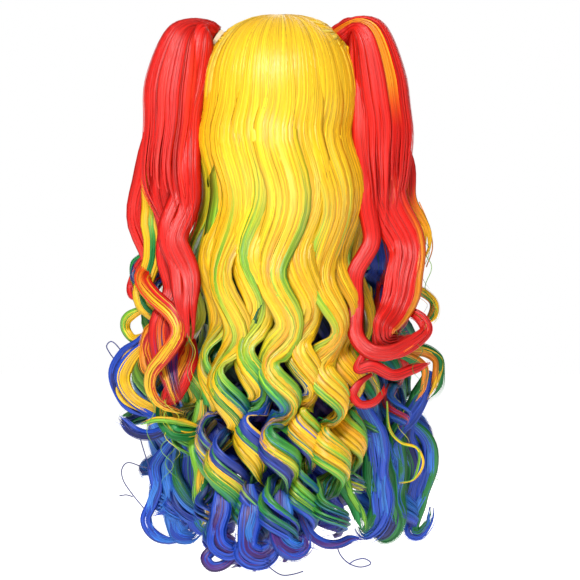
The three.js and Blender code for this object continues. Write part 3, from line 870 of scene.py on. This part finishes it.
# Curls at the ends of the back locks, and thin hairs that have come loose from them
PLAIN_DYES = {
    "ruby": (222, 20, 16), "orange": ORANGE, "lemon": YELLOW, "lime": LIME, "leaf": GREEN, "blue": BLUE,
    "sky": SKY, "navy": NAVY, "violet": PURPLE,
}
for name, colour in PLAIN_DYES.items():
    BLENDS[name] = ((0, colour), (-700, colour))
CURL_HAIR = {
    "thick": 4, "fullness": ((0, 0.3, 0.8, 1), (0.4, 1, 0.8, 0.3)), "rounded": ((0, 1), (0.7, 0.7)),
    "mix": 1.9, "loose": 1.6, "ragged": 0.16, "wisp": 1.0, "sway": 2.2, "sway_pitch": 60, "tangle": 4,
    "pure": True, "steps": 36,
}
CURL_STRANDS_PER_MM = 1.9
LOOSE_WIDE = 1.3
LOOSE_STEPS = 36


def curl(width, bands, *path):
    return {"width": width, "bands": bands, "path": path, "swing": 0}


END_CURLS = (
    curl(18, "blue violet blue",
        (-64, -100, -490), (-64, -116, -520), (-68, -124, -545), (-66, -126, -560), (-54, -125, -567),
        (-44, -122, -560), (-44, -118, -548)),
    curl(9, "violet blue",
        (-58, -112, -540), (-68, -116, -560), (-79, -120, -573), (-72, -122, -582), (-57, -120, -579),
        (-48, -116, -568), (-55, -111, -559), (-68, -107, -562)),
    curl(22, "blue violet sky blue",
        (-34, -104, -496), (-32, -120, -524), (-36, -130, -548), (-32, -132, -563), (-18, -131, -569),
        (-8, -128, -561), (-9, -124, -549)),
    curl(9, "blue violet",
        (-20, -118, -538), (-36, -124, -555), (-44, -127, -568), (-34, -129, -578), (-16, -128, -579),
        (-6, -124, -569), (-13, -120, -559), (-28, -116, -556)),
    curl(22, "blue violet blue sky",
        (0, -104, -495), (0, -120, -525), (-2, -129, -546), (4, -131, -559), (16, -129, -565),
        (27, -125, -559), (27, -121, -548)),
    curl(10, "blue violet blue",
        (16, -104, -510), (26, -103, -538), (34, -101, -552), (47, -100, -560), (61, -99, -560),
        (76, -97, -554), (88, -94, -556)),
    curl(14, "leaf leaf lime",
        (53, -100, -450), (64, -97, -485), (79, -95, -522), (90, -92, -546)),
)
END_HAIRS = (
    ((60, -98, -562), (64, -98, -572), (73, -98, -581), (86, -98, -585), (97, -98, -581), (90, -98, -576),
     (79, -98, -578), (73, -98, -582)),
    ((-21, -104, -577), (-12, -104, -585), (1, -104, -593), (14, -104, -592), (24, -104, -589)),
)


def towards_back(spots):
    return np.broadcast_to(np.array((0.0, -1.0, 0.0)), spots.shape)


def lay_curls(tress, curls, draw):
    for lock in curls:
        strands = int(CURL_STRANDS_PER_MM * lock["width"])
        lay_lock(tress, smooth_route(lock["path"]), lock, CURL_HAIR, towards_back, strands, draw)


def loose_hairs(paths, colour, draw):
    points = np.array([smooth_route(path, LOOSE_STEPS) for path in paths])
    colours = colour + 0 * points
    points, surface, widths, tint = strand_group(points, towards_back(points), colours, draw, True)
    return points, surface, np.full_like(widths, LOOSE_WIDE), tint


lay_curls(crown, END_CURLS, draw)
crown["strands"].append(loose_hairs(END_HAIRS, NAVY, draw))
crown_hair = hair_mesh("crown_hair_strands", crown, fibre("crown_fibre"))
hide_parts("crown_hair")


# Nape hair: the under layer of long locks sewn in one weft across the nape, greener and bluer than the
# outer hair. Heat-set synthetic fibre on a folded weft tape stitched to the cap.
BLENDS["night"] = (
    (-110, LIME), (-190, GREEN), (-280, DARK_GREEN), (-330, NAVY), (-420, PURPLE), (-500, BLUE),
    (-560, PURPLE),
)
BLENDS["dusk"] = (
    (-110, STRAW), (-200, LIME), (-270, GREEN), (-350, DARK_GREEN), (-410, NAVY), (-500, BLUE),
    (-560, PURPLE),
)
NAPE_HAIR = {**LONG_HAIR, "thick": 8, "soft": 4, "steps": 64}
NAPE_LOCKS = (
    hanging_lock(-37, (-64, -40, -566), 64, 9, -200, "dusk night dusk"),
    hanging_lock(-12, (-20, -70, -588), 56, 9, -204, "night dusk night"),
    hanging_lock(12, (18, -62, -580), 56, 9, -204, "dusk night dusk"),
    hanging_lock(37, (56, -40, -556), 54, 9, -200, "night dusk night"),
    hanging_lock(-25, (-64, -52, -540), 68, 5, -240, "dusk night dusk"),
    hanging_lock(0, (0, -56, -540), 60, 5, -240, "night dusk night"),
    hanging_lock(25, (38, -52, -530), 60, 5, -240, "dusk night dusk"),
)
NAPE_STRANDS = 30
NAPE_OUT = CAP_OUT + 4
NAPE_ROOTS = (101, 112)
NAPE_WEFT = (-50, 50, 101.5, 121)
WEFT_THICK = 3
WEFT_STEPS = 16


# A sewn weft: a flat tape along the cap that carries the roots of a row of locks
def weft_tape(first, last, upper, lower, colour):
    azimuth = np.linspace(first, last, WEFT_STEPS)
    section = ((0, upper), (WEFT_THICK, upper), (WEFT_THICK, lower), (0, lower))
    rings = [onto_head(CAP_OUT + grow, azimuth, level) for grow, level in section]
    return packed(np.stack(rings, axis=1), colour)


nape = {"strands": [], "bodies": []}
for lock in NAPE_LOCKS:
    route = hanging_route(lock, NAPE_OUT, NAPE_ROOTS)
    lay_lock(nape, route, lock, NAPE_HAIR, away_from_head, NAPE_STRANDS, draw)
nape["bodies"].append(weft_tape(*NAPE_WEFT, GREEN))
nape_hair = hair_mesh("nape_hair_strands", nape, fibre("nape_fibre"))
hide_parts("nape_hair")


# Side hair: a short weft in front of each ear with five locks that fall past the jaw and are fullest in
# the curls at their ends. The same heat-set fibre, yellow at the root and blue below.
BLENDS["tide"] = (
    (-110, YELLOW), (-230, LIME), (-290, GREEN), (-350, BLUE), (-420, SKY), (-530, SKY), (-570, BLUE),
)
SIDE_HAIR = {
    **HAIR,
    "thick": 15,
    "fullness": ((0, 0.3, 0.6, 0.9, 1), (0.5, 0.65, 0.85, 1, 0.6)),
    "rounded": ((0, 0.3, 1), (0.6, 1, 1)),
    "waves": ((100, 200, 330, 440), (0, 0.3, 0.75, 1)),
    "soft": 2,
    "steps": 64,
}
SIDE_STRANDS = 40
SIDE_OUT = CAP_OUT + 1.5
SIDE_ROOTS = (98, 104)
SIDE_WEFT = {"left": (-92, -130, 96, 104), "right": (92, 130, 96, 104)}
SIDE_LOCKS = {
    "left": (
        hanging_lock(-101, (-106, 4, -556), 42, 10, -205, "tide sea tide leafy", 0.55),
        hanging_lock(-111, (-132, 28, -542), 42, 11, -215, "tide sea tide tide", 0.55),
        hanging_lock(-123, (-160, 50, -440), 42, 15, -203, "tide leafy sea leafy", 0.9),
        hanging_lock(-106, (-118, 16, -546), 38, 8, -235, "tide tide sea", 0.55),
        hanging_lock(-117, (-144, 40, -496), 38, 10, -235, "tide sea tide", 0.7),
    ),
    "right": (
        hanging_lock(101, (106, 2, -560), 44, 10, -205, "tide tide sea tide", 0.55),
        hanging_lock(111, (138, 28, -556), 44, 12, -215, "sea tide tide tide", 0.6),
        hanging_lock(123, (160, 52, -500), 40, 13, -225, "leafy tide sea tide", 0.8),
        hanging_lock(106, (120, 14, -552), 38, 8, -235, "tide sea tide", 0.55),
        hanging_lock(117, (147, 40, -526), 38, 10, -245, "sea tide tide", 0.7),
    ),
}
SIDE_CURLS = {
    "left": (
        curl(12, "blue sky blue",
            (-112, 0, -445), (-128, 3, -463), (-140, 5, -482), (-138, 8, -505), (-145, 11, -524),
            (-149, 13, -543), (-139, 16, -561), (-122, 18, -567), (-106, 20, -564)),
        curl(14, "sky sky blue",
            (-124, 4, -458), (-127, 6, -476), (-125, 7, -494), (-120, 9, -514), (-129, 11, -530),
            (-142, 12, -538)),
        curl(26, "sky blue sky sky",
            (-106, 4, -445), (-113, 6, -480), (-117, 8, -502), (-113, 10, -521), (-118, 12, -540),
            (-114, 16, -558), (-100, 20, -562), (-90, 26, -555)),
        curl(20, "blue leaf sky",
            (-98, -10, -440), (-97, -8, -483), (-94, -6, -507), (-98, -4, -528), (-92, -2, -546),
            (-84, 4, -554), (-80, 10, -546)),
        curl(18, "lime lemon leaf",
            (-84, -42, -388), (-86, -52, -425), (-90, -58, -452), (-84, -66, -480), (-88, -64, -506),
            (-80, -60, -530), (-84, -54, -545)),
    ),
    "right": (
        curl(15, "blue sky leaf",
            (128, 10, -429), (150, 14, -440), (164, 18, -457), (166, 22, -479), (162, 26, -503),
            (155, 30, -524), (147, 31, -543), (147, 32, -558), (156, 34, -560), (165, 35, -546),
            (168, 36, -528)),
        curl(26, "leaf blue sky blue",
            (75, -60, -391), (88, -53, -420), (101, -47, -448), (104, -40, -483), (108, -33, -518),
            (104, -27, -546), (92, -18, -556), (84, -8, -548)),
        curl(26, "blue sky navy leaf",
            (112, -22, -455), (110, -20, -490), (116, -18, -522), (120, -14, -545), (112, -8, -558),
            (98, 0, -554)),
        curl(24, "leaf blue sky leaf",
            (126, 0, -410), (122, 2, -448), (128, 6, -480), (124, 10, -512), (131, 12, -538),
            (124, 14, -556), (110, 18, -554)),
        curl(18, "leaf navy blue",
            (150, 12, -420), (140, 14, -452), (150, 18, -484), (140, 22, -512), (134, 24, -536),
            (124, 28, -548)),
    ),
}
SIDE_HAIRS = {
    "left": (
        ((-157, -12, -446), (-151, -5, -468), (-145, 2, -487)),
        ((-143, 4, -486), (-153, 6, -484), (-171, 8, -479), (-177, 10, -486), (-176, 12, -498),
         (-166, 14, -514), (-151, 16, -533), (-144, 18, -545)),
        ((-180, 10, -516), (-172, 10, -515), (-165, 11, -517)),
    ),
    "right": (
        ((150, 30, -522), (143, 31, -541), (148, 33, -560), (160, 34, -552), (167, 36, -530)),
    ),
}
side_fibre = fibre("side_fibre")
for side in ("left", "right"):
    tress = {"strands": [], "bodies": [weft_tape(*SIDE_WEFT[side], YELLOW)]}
    for lock in SIDE_LOCKS[side]:
        route = hanging_route(lock, SIDE_OUT, SIDE_ROOTS)
        lay_lock(tress, route, lock, SIDE_HAIR, away_from_head, SIDE_STRANDS, draw)
    lay_curls(tress, SIDE_CURLS[side], draw)
    tress["strands"].append(loose_hairs(SIDE_HAIRS[side], NAVY, draw))
    side_hair = hair_mesh("side_hair_" + side + "_strands", tress, side_fibre)
    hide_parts("side_hair_" + side)


# Claw clips: a cream moulded clip round each bunch that holds a ponytail on. Injection-moulded plastic,
# sprung shut on the bunch and hidden in the hair apart from its edge.
CLIP_CREAM = (0.84, 0.75, 0.55, 1)
CLIP_SHADE = (0.74, 0.62, 0.40, 1)
CLIP_ROUGH = (0.35, 0.55)
CLIP_RELIEF = {"Strength": 0.15, "Distance": 0.0004}
CLIP_CLOUDS_PER_M = 160
clip_plastic, nodes, shader = start_material("clip_plastic")
place = add_node(nodes, "TexCoord")
cloud = add_node(nodes, "TexNoise", {"Scale": CLIP_CLOUDS_PER_M, "Detail": 4})
cream = add_node(nodes, "Mix", {"A": CLIP_CREAM, "B": CLIP_SHADE}, data_type="RGBA")
wire(place, "Object", cloud, "Vector")
wire(cloud, "Fac", cream, "Factor")
wire(cream, "Result", shader, "Base Color")
vary_surface(shader, cloud, "Fac", CLIP_ROUGH, CLIP_RELIEF)
for side in ("left", "right"):
    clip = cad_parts["claw_clip_" + side]
    clip.data.materials.clear()
    clip.data.materials.append(clip_plastic)


# Ponytails: two loose bunches of red hair that rise from the clips, turn over and fall in wide curls to
# the waist of the wig. Heat-set fibre in mixed colours at the ends, glued into the clip at the root.
RED = (226, 20, 6)
BRIGHT_RED = (242, 48, 34)
DARK_RED = (196, 12, 6)
BLENDS.update({
    "ember": ((0, RED), (-90, BRIGHT_RED), (-150, RED), (-330, RED), (-420, DARK_RED)),
    "flame": ((0, RED), (-200, RED), (-290, BRIGHT_RED), (-330, ORANGE), (-380, YELLOW), (-430, LIME)),
    "parrot": (
        (0, RED), (-110, RED), (-150, ORANGE), (-190, YELLOW), (-250, LIME), (-300, GREEN), (-350, YELLOW),
        (-420, GREEN),
    ),
    "gilt": (
        (0, ORANGE), (-60, ORANGE), (-110, RED), (-160, RED), (-190, ORANGE), (-225, YELLOW),
        (-270, YELLOW),
    ),
    "citron": ((0, RED), (-150, RED), (-175, ORANGE), (-195, YELLOW), (-430, YELLOW)),
    "fern": (
        (0, RED), (-150, RED), (-180, YELLOW), (-200, LIME), (-225, GREEN), (-310, GREEN), (-340, LIME),
    ),
    "edged": ((0, RED), (-170, RED), (-220, ORANGE), (-400, ORANGE)),
    "deep": (
        (0, RED), (-150, RED), (-175, DARK_GREEN), (-195, GREEN), (-225, BLUE), (-300, NAVY),
        (-350, GREEN), (-420, BLUE),
    ),
    # Red that goes dark through purple and navy and back to red: partly strands of those dyes, partly
    # painted shadow in the hollow among the tail's curls
    "dusky": ((0, RED), (-318, RED), (-342, PURPLE), (-362, NAVY), (-382, DARK_RED), (-400, RED)),
    "turning": ((0, RED), (-230, RED), (-270, ORANGE), (-300, YELLOW), (-440, YELLOW)),
})
TAIL_HAIR = {
    **HAIR,
    "thick": 23,
    "fullness": ((0, 0.05, 0.13, 0.36, 0.55, 0.8, 1), (0.4, 0.5, 1, 1.1, 1, 0.9, 0.6)),
    "rounded": ((0, 0.3, 0.55, 1), (1, 1, 0.5, 0.4)),
    "waves": ((60, 150, 285, 600), (0, 0.3, 1, 1)),
    "soft": 3,
    "sway": 3,
    "sway_pitch": 75,
    "ragged": 0.12,
    "steps": 60,
}
TAIL_STREAKS = 0.42
TAIL_GLOSS = 0.48
TAIL_ROOT = 17
TAIL_START = 24
TAIL_CREST_SHARE = (0.45, 0.6)
TAIL_CREST = {"x": 95, "z": -1, "slope": 0.12}
TAIL_WIDE = 30
TAIL_WIDE_LOWER = 0.45
TAIL_SHOULDER_Z = -55


# A lock that leaves the clip, turns over its shoulder and follows a path down, with or without a curl
def tail_lock(shoulder, width, bands, *path, swing=0, bend=0):
    return {
        "shoulder": shoulder, "width": width, "bands": bands, "path": path, "swing": swing, "bend": bend,
        "pace": 1,
    }


TAIL_LOCKS = {
    "left": (
        tail_lock((-97, -24), 30, "ember ember ember",
            (-108, -36, -113), (-104, -48, -165), (-111, -56, -205), (-115, -63, -235), (-109, -72, -262),
            (-101, -81, -290), (-99, -88, -316), (-103, -92, -345)),
        # Its two right bands darken lower down with painted shadow and purple and navy strands
        tail_lock((-114, -20), 32, "ember flame dusky dusky",
            (-123, -28, -113), (-124, -35, -173), (-118, -42, -233), (-114, -49, -282), (-124, -57, -325),
            (-128, -66, -363), (-116, -75, -391), (-108, -84, -412)),
        tail_lock((-132, -10), 16, "turning turning ember",
            (-137, -14, -91), (-149, -16, -147), (-160, -17, -188), (-157, -19, -216), (-151, -21, -239),
            (-147, -23, -257), (-151, -38, -274), (-136, -59, -294), (-119, -78, -313), (-113, -86, -337),
            (-124, -84, -360), (-140, -78, -379), (-144, -75, -396), (-133, -77, -411),
            (-103, -79, -421)),
        tail_lock((-128, -14), 18, "citron fern citron",
            (-132, -20, -102), (-139, -22, -151), (-145, -24, -184), (-144, -25, -210), (-138, -27, -231),
            (-142, -29, -250), (-149, -32, -268), (-152, -35, -289), (-145, -39, -307), (-128, -43, -322),
            (-123, -46, -339), (-134, -50, -355)),
        tail_lock((-110, -2), 34, "parrot deep flame deep",
            (-128, -10, -195), (-128, -28, -436), swing=15, bend=-227),
    ),
    "right": (
        tail_lock((86, -36), 15, "ember ember",
            (88, -46, -113), (92, -51, -168), (97, -56, -213), (96, -61, -237), (85, -66, -265),
            (79, -71, -294), (79, -79, -320), (87, -89, -342), (101, -98, -354), (121, -97, -354),
            (143, -88, -343), (157, -80, -329), (151, -71, -314), (138, -62, -309)),
        tail_lock((102, -28), 40, "ember ember ember ember ember edged",
            (107, -36, -113), (112, -42, -168), (122, -48, -202), (133, -53, -233), (138, -59, -257),
            (133, -68, -285), (120, -79, -310), (112, -90, -327), (117, -86, -341), (134, -78, -339)),
        tail_lock((118, -16), 20, "ember gilt gilt",
            (122, -18, -91), (130, -19, -135), (137, -20, -168), (144, -21, -198), (155, -22, -226),
            (158, -23, -244), (154, -24, -257)),
        tail_lock((98, -4), 50, "deep ember deep",
            (110, -14, -195), (128, -28, -436), swing=9, bend=-240),
    ),
}
TAIL_CURLS = {
    "left": (
        curl(9, "leaf navy",
            (-143, -22, -231), (-150, -18, -250), (-162, -14, -259), (-163, -15, -272), (-154, -20, -285),
            (-145, -26, -292)),
        curl(7, "ruby ruby",
            (-146, -22, -242), (-159, -15, -263), (-168, -8, -281), (-163, -14, -294), (-152, -20, -298)),
        curl(9, "lime lemon",
            (-140, -34, -305), (-158, -27, -311), (-171, -21, -320), (-173, -14, -331), (-163, -19, -341),
            (-149, -25, -337), (-139, -30, -326)),
        curl(11, "blue navy lemon",
            (-140, -34, -325), (-156, -27, -344), (-173, -19, -357), (-183, -12, -376), (-183, -11, -396),
            (-173, -17, -412), (-153, -24, -422), (-134, -30, -426)),
        curl(14, "blue lemon lemon",
            (-138, -40, -342), (-160, -32, -357), (-174, -23, -381), (-164, -27, -405), (-145, -38, -418),
            (-123, -49, -426), (-103, -60, -429)),
        curl(9, "blue navy",
            (-114, -40, -433), (-143, -31, -446), (-162, -23, -442), (-178, -14, -426)),
        curl(14, "leaf lemon leaf",
            (-127, -50, -398), (-128, -61, -423), (-114, -72, -441), (-92, -61, -441), (-82, -50, -424)),
        curl(23, "ruby orange ruby ruby",
            (-99, -44, -340), (-102, -58, -361), (-110, -69, -382), (-118, -72, -400), (-124, -70, -417)),
        curl(6, "lemon lime",
            (-88, -64, -436), (-104, -70, -431), (-122, -73, -428), (-139, -70, -428), (-152, -64, -434)),
        curl(15, "orange ruby orange",
            (-121, -50, -318), (-140, -47, -333), (-148, -44, -355), (-141, -47, -372),
            (-127, -50, -363)),
    ),
    "right": (
        curl(9, "orange leaf lemon",
            (136, -30, -279), (143, -24, -287), (156, -17, -290), (166, -16, -300), (166, -20, -316),
            (156, -24, -326)),
        curl(12, "orange lemon leaf",
            (121, -40, -342), (129, -33, -356), (143, -27, -353), (160, -20, -355), (174, -18, -366),
            (172, -16, -390), (159, -14, -409)),
        curl(24, "ruby ruby ruby",
            (136, -60, -290), (128, -66, -310), (114, -74, -328), (112, -80, -342), (126, -80, -346),
            (140, -74, -336)),
        curl(11, "ruby orange ruby",
            (96, -98, -350), (112, -99, -357), (130, -94, -353), (147, -86, -342), (156, -80, -329),
            (151, -72, -316), (139, -64, -311), (128, -60, -320)),
        curl(10, "ruby ruby",
            (92, -94, -350), (83, -98, -372), (97, -99, -369), (119, -92, -379), (140, -82, -373),
            (162, -66, -366)),
        curl(7, "ruby ruby",
            (98, -84, -378), (84, -92, -388), (77, -96, -401), (84, -97, -410), (96, -94, -409),
            (108, -86, -399), (113, -76, -388)),
        curl(18, "leaf blue blue",
            (164, -16, -376), (153, -14, -403), (138, -11, -431), (127, -8, -448), (123, -6, -463)),
        curl(9, "leaf orange",
            (122, -44, -356), (142, -36, -362), (157, -30, -374), (156, -26, -392), (146, -22, -410)),
        curl(3.4, "lime lemon",
            (116, -40, -409), (119, -35, -440), (132, -29, -455), (149, -24, -461), (154, -23, -477),
            (146, -21, -496), (129, -20, -500)),
    ),
}
TAIL_HAIRS = {
    "left": {"colour": NAVY, "paths": (
        ((-176, -12, -392), (-182, -10, -368), (-190, -8, -356), (-193, -8, -349), (-188, -8, -344),
         (-178, -10, -353), (-173, -12, -366)),
    )},
    "right": {"colour": ORANGE, "paths": (
        ((152, -20, -190), (162, -18, -214), (167, -16, -240), (160, -20, -262)),
    )},
}


def tail_route(lock, side):
    root, lean, _, _ = round_bunch(side)
    start = root + lean * TAIL_START
    x, y = lock["shoulder"]
    crest_z = TAIL_CREST["z"] - TAIL_CREST["slope"] * (abs(x) - TAIL_CREST["x"])
    crest_z = crest_z - TAIL_WIDE_LOWER * max(lock["width"] - TAIL_WIDE, 0)
    crest = (start[0] + (x - start[0]) * TAIL_CREST_SHARE[0], y * TAIL_CREST_SHARE[1], crest_z)
    return smooth_route((root + lean * TAIL_ROOT, start, crest, (x, y, TAIL_SHOULDER_Z), *lock["path"]))


# Cover of a ponytail: hair sewn round the clip, that falls through rings of x, y, z and two half widths
COVER_FROM = {"left": (17, 19), "right": (4, 8)}
COVER_ROOT = 13.6
COVER_TURN = {"left": (28, 14.5), "right": (18, 13.2)}
COVER_CREST = {"left": ((0.34, 2.5, 10), (0.66, -6, 9)), "right": ((0.34, 3, 11), (0.66, -6, 13))}
COVER_RINGS = {
    "left": (
        (-116, -15, -50, 32, 27), (-121, -22, -95, 31, 27), (-123, -28, -135, 31, 27),
        (-121, -36, -175, 29, 26), (-114, -46, -212, 20, 20), (-113, -54, -240, 12, 13),
    ),
    "right": (
        (104, -21, -50, 33, 27), (109, -26, -95, 33, 27), (112, -30, -130, 31, 26),
        (114, -38, -165, 28, 24), (110, -46, -200, 21, 20), (107, -54, -230, 12, 13),
    ),
}
COVER_SIZES = {"ribbons": (0.95, 1.01), "strands": (0.99, 1.04)}
COVER_LENGTHS = {"ribbons": (0.72, 1), "strands": (0.6, 1)}
COVER_SUNK = {"edges": 0.035, "back": 0.1}
COVER_LIFT = 20
COVER_WAVE = 2.5
COVER_WAVE_FROM = -60
COVER_WAVE_GROWS = 60
COVER_WAVE_PITCH = 20
COVER_WAVE_TURN = 0.7
COVER_TOP = 40
COVER_UPWARD = 20
COVER_RIBBONS = 26
COVER_STRANDS = 70
COVER_STEPS = 30
COVER_STREAKS = 4
COVER_TAPER = ((0, 0.5, 1), (1, 1, 0.14))
COVER_SHADE = (0.94, 1.06)
GILT_BETWEEN = (0.045, 0.125)
BRIGHT_BELOW = 0.2
DARK_ABOVE = 0.85


# A line of hair sewn to the outside of the clip, that covers it and falls over the rest of the ponytail
def cover_line(side, turn, first, wide):
    root, lean, back, upper = round_bunch(side)
    sign = -1 if side == "left" else 1
    outward = math.cos(turn) * back + math.sin(turn) * upper
    fall_x = sign * math.sin(turn)
    fall_y = -math.cos(turn)
    rings = []
    for x, y, z, half_x, half_y in COVER_RINGS[side]:
        rings.append(np.array((x + fall_x * half_x * wide, y + fall_y * half_y * wide, z)))
    far, round_clip = COVER_TURN[side]
    start = root + lean * far + outward * round_clip * wide
    crests = []
    for share, height, rise in COVER_CREST[side]:
        crest = start + (rings[0] - start) * share
        crest[2] = height + rise * math.sin(turn) + COVER_LIFT * (wide - COVER_SIZES["ribbons"][0])
        crests.append(crest)
    line = smooth_route((root + lean * first + outward * COVER_ROOT * wide, start, *crests, *rings))
    swell = np.clip((COVER_WAVE_FROM - line[:, 2]) / COVER_WAVE_GROWS, 0, 1)
    wave = np.sin(line[:, 2] / COVER_WAVE_PITCH + COVER_WAVE_TURN * np.sin(turn))
    line[:, 0] += COVER_WAVE * swell * wave
    return line


def cover_colours(side, turn, tone, z):
    if side == "right" and GILT_BETWEEN[0] < turn / (2 * np.pi) < GILT_BETWEEN[1]:
        return dyed("gilt", z, 0)
    colour = BRIGHT_RED if tone < BRIGHT_BELOW else DARK_RED if tone > DARK_ABOVE else RED
    return np.broadcast_to(np.array(colour, float), (*z.shape, 3))


def cover_ribbon(side, number, draw):
    turn = 2 * np.pi * (number + draw.uniform(0.3, 0.7)) / COVER_RIBBONS
    wide = draw.uniform(*COVER_SIZES["ribbons"]) - COVER_SUNK["edges"] * (1 - RIBBON_TOP)
    wide = wide - COVER_SUNK["back"] * RIBBON_BACK
    first = draw.uniform(*COVER_FROM[side])
    even = np.linspace(0, 1, COVER_STEPS + 1)
    shares = draw.uniform(*COVER_LENGTHS["ribbons"]) * even
    turns = turn + RIBBON_ACROSS * RIBBON_OVERLAP * np.pi / COVER_RIBBONS
    lines = [cover_line(side, place, first, size) for place, size in zip(turns, wide)]
    points = np.array([at_shares(line, shares) for line in lines])
    middle = points.mean(axis=0)
    points = middle + (points - middle) * np.interp(even, *COVER_TAPER)[:, None]
    colours = cover_colours(side, turn, draw.uniform(0, 1), points[..., 2])
    tint = linear(colours) * draw.uniform(*COVER_SHADE)
    return ribbon(points, tint, streak_lanes(COVER_STREAKS, draw))


def cover_strands(side, draw):
    lines = []
    colours = []
    for number in range(COVER_STRANDS):
        turn = 2 * np.pi * (number + draw.uniform(0, 1)) / COVER_STRANDS
        first = draw.uniform(*COVER_FROM[side])
        line = cover_line(side, turn, first, draw.uniform(*COVER_SIZES["strands"]))
        length = draw.uniform(*COVER_LENGTHS["strands"])
        lines.append(at_shares(line, np.linspace(0, length, COVER_STEPS + 1)))
        colours.append(cover_colours(side, turn, draw.uniform(0, 1), lines[-1][:, 2]))
    points = np.array(lines)
    middle = np.array((*COVER_RINGS[side][0][:2], 0))
    rising = np.clip((points[..., 2:] + COVER_TOP) / COVER_TOP, 0, 1) * COVER_UPWARD
    surface = unit((points - middle) * (1, 1, 0) + np.array((0, 0, 1)) * rising)
    return strand_group(points, surface, np.array(colours), draw)


# Sizes of the wisps: how long they are, the pitch and radius of their turns and how far they drift
WISPS = 8
WISP_STEPS = 23
WISP_WIDE = 0.7
WISP_FROM = (0.8, 1)
WISP_LONG = (45, 100)
WISP_PITCH = (36, 58)
WISP_RADIUS = (3, 9)
WISP_OPENS = 4
WISP_DRIFT = 14
WISP_COLOURS = (STRAW, LIME, GREEN, DARK_GREEN)


# Thin curly wisps that have slipped out of the locks near their ends
def curly_wisps(routes, draw):
    down = np.linspace(0, 1, WISP_STEPS)
    lines = []
    for number in range(WISPS):
        start = at_shares(routes[number % len(routes)], np.array((draw.uniform(*WISP_FROM),)))
        length = draw.uniform(*WISP_LONG)
        turn = 2 * np.pi * (length / draw.uniform(*WISP_PITCH) * down + draw.uniform(0, 1))
        radius = draw.uniform(*WISP_RADIUS) * np.clip(WISP_OPENS * down, 0, 1)
        drift = draw.uniform(-WISP_DRIFT, WISP_DRIFT, 2)
        x = radius * np.cos(turn) + drift[0] * down
        y = radius * np.sin(turn) + drift[1] * down
        lines.append(start + np.stack((x, y, -length * down), axis=-1))
    points = np.array(lines)
    colours = np.array(WISP_COLOURS, float)[draw.integers(0, len(WISP_COLOURS), WISPS)]
    return strand_group(points, towards_back(points), colours[:, None] + 0 * points, draw, wide=WISP_WIDE)


ponytail_fibre = fibre("ponytail_fibre", TAIL_STREAKS, TAIL_GLOSS)
for side in ("left", "right"):
    tress = {"strands": [], "bodies": []}
    for number in range(COVER_RIBBONS):
        tress["bodies"].append(cover_ribbon(side, number, draw))
    tress["strands"].append(cover_strands(side, draw))
    routes = [tail_route(lock, side) for lock in TAIL_LOCKS[side]]
    for lock, route in zip(TAIL_LOCKS[side], routes):
        lay_lock(tress, route, lock, TAIL_HAIR, towards_back, lock["width"], draw)
    lay_curls(tress, TAIL_CURLS[side], draw)
    tress["strands"].append(curly_wisps(routes, draw))
    tress["strands"].append(loose_hairs(TAIL_HAIRS[side]["paths"], TAIL_HAIRS[side]["colour"], draw))
    ponytail = hair_mesh("ponytail_" + side + "_strands", tress, ponytail_fibre)
    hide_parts("ponytail_" + side)


# Studio: a pale floor under the hanging hair, soft light from above on its back and its front, and the
# camera behind the wig at the height of its middle, as far off as a long lens needs.
FLOOR_Z = -0.64
FLOOR_HALF = 9
FLOOR_CORNERS = ((-1, -1), (1, -1), (1, 1), (-1, 1))
FLOOR_FINISH = {
    "Base Color": (0.98, 0.98, 0.98, 1), "Roughness": 0.9,
    "Emission Color": (1, 1, 1, 1), "Emission Strength": 0.75,
}
SOFTBOXES = {
    "top_softbox": {"place": (-0.5, -1.7, 1.2), "size": 0.7, "power": 46},
    "front_softbox": {"place": (0.8, 2.2, 0.9), "size": 1.8, "power": 17},
}
LIGHT_AIM = (0, 0, -0.25)
AIR_STRENGTH = {"To Min": 0.32, "To Max": 1.0}
VIEW_CENTRE = (0.0098, -0.06, -0.2872)
VIEW_WIDE = 0.631
VIEW_FAR = 3.2
SENSOR_WIDE = 36
floor_mesh = bpy.data.meshes.new("floor")
corners = [(x * FLOOR_HALF, y * FLOOR_HALF, FLOOR_Z) for x, y in FLOOR_CORNERS]
floor_mesh.from_pydata(corners, [], [(0, 1, 2, 3)])
floor_white, _, shader = start_material("floor_white")
set_inputs(shader, FLOOR_FINISH)
floor_mesh.materials.append(floor_white)
floor = bpy.data.objects.new("floor", floor_mesh)
bpy.context.scene.collection.objects.link(floor)


def softbox(name, place, size, power):
    lamp = bpy.data.lights.new(name, "AREA")
    lamp.shape = "DISK"
    lamp.size = size
    lamp.energy = power
    light = bpy.data.objects.new(name, lamp)
    bpy.context.scene.collection.objects.link(light)
    light.location = place
    x, y, z = np.array(LIGHT_AIM) - np.array(place)
    light.rotation_euler = (math.atan2(math.hypot(x, y), -z), 0, math.atan2(y, x) - math.pi / 2)


for name, box in SOFTBOXES.items():
    softbox(name, box["place"], box["size"], box["power"])
world = bpy.data.worlds.new("studio_white")
world.use_nodes = True
nodes = world.node_tree.nodes
air = nodes["Background"]
set_inputs(air, {"Color": (1, 1, 1, 1)})
ray = add_node(nodes, "LightPath")
seen = add_node(nodes, "MapRange", AIR_STRENGTH)
wire(ray, "Is Camera Ray", seen, "Value")
wire(seen, "Result", air, "Strength")
bpy.context.scene.world = world
bpy.context.scene.view_settings.view_transform = "Standard"
lens = bpy.data.cameras.new("camera")
lens.sensor_width = SENSOR_WIDE
lens.lens = SENSOR_WIDE * VIEW_FAR / VIEW_WIDE
camera = bpy.data.objects.new("camera", lens)
bpy.context.scene.collection.objects.link(camera)
camera.location = (VIEW_CENTRE[0], VIEW_CENTRE[1] - VIEW_FAR, VIEW_CENTRE[2])
camera.rotation_euler = (math.pi / 2, 0, 0)
bpy.context.scene.camera = camera
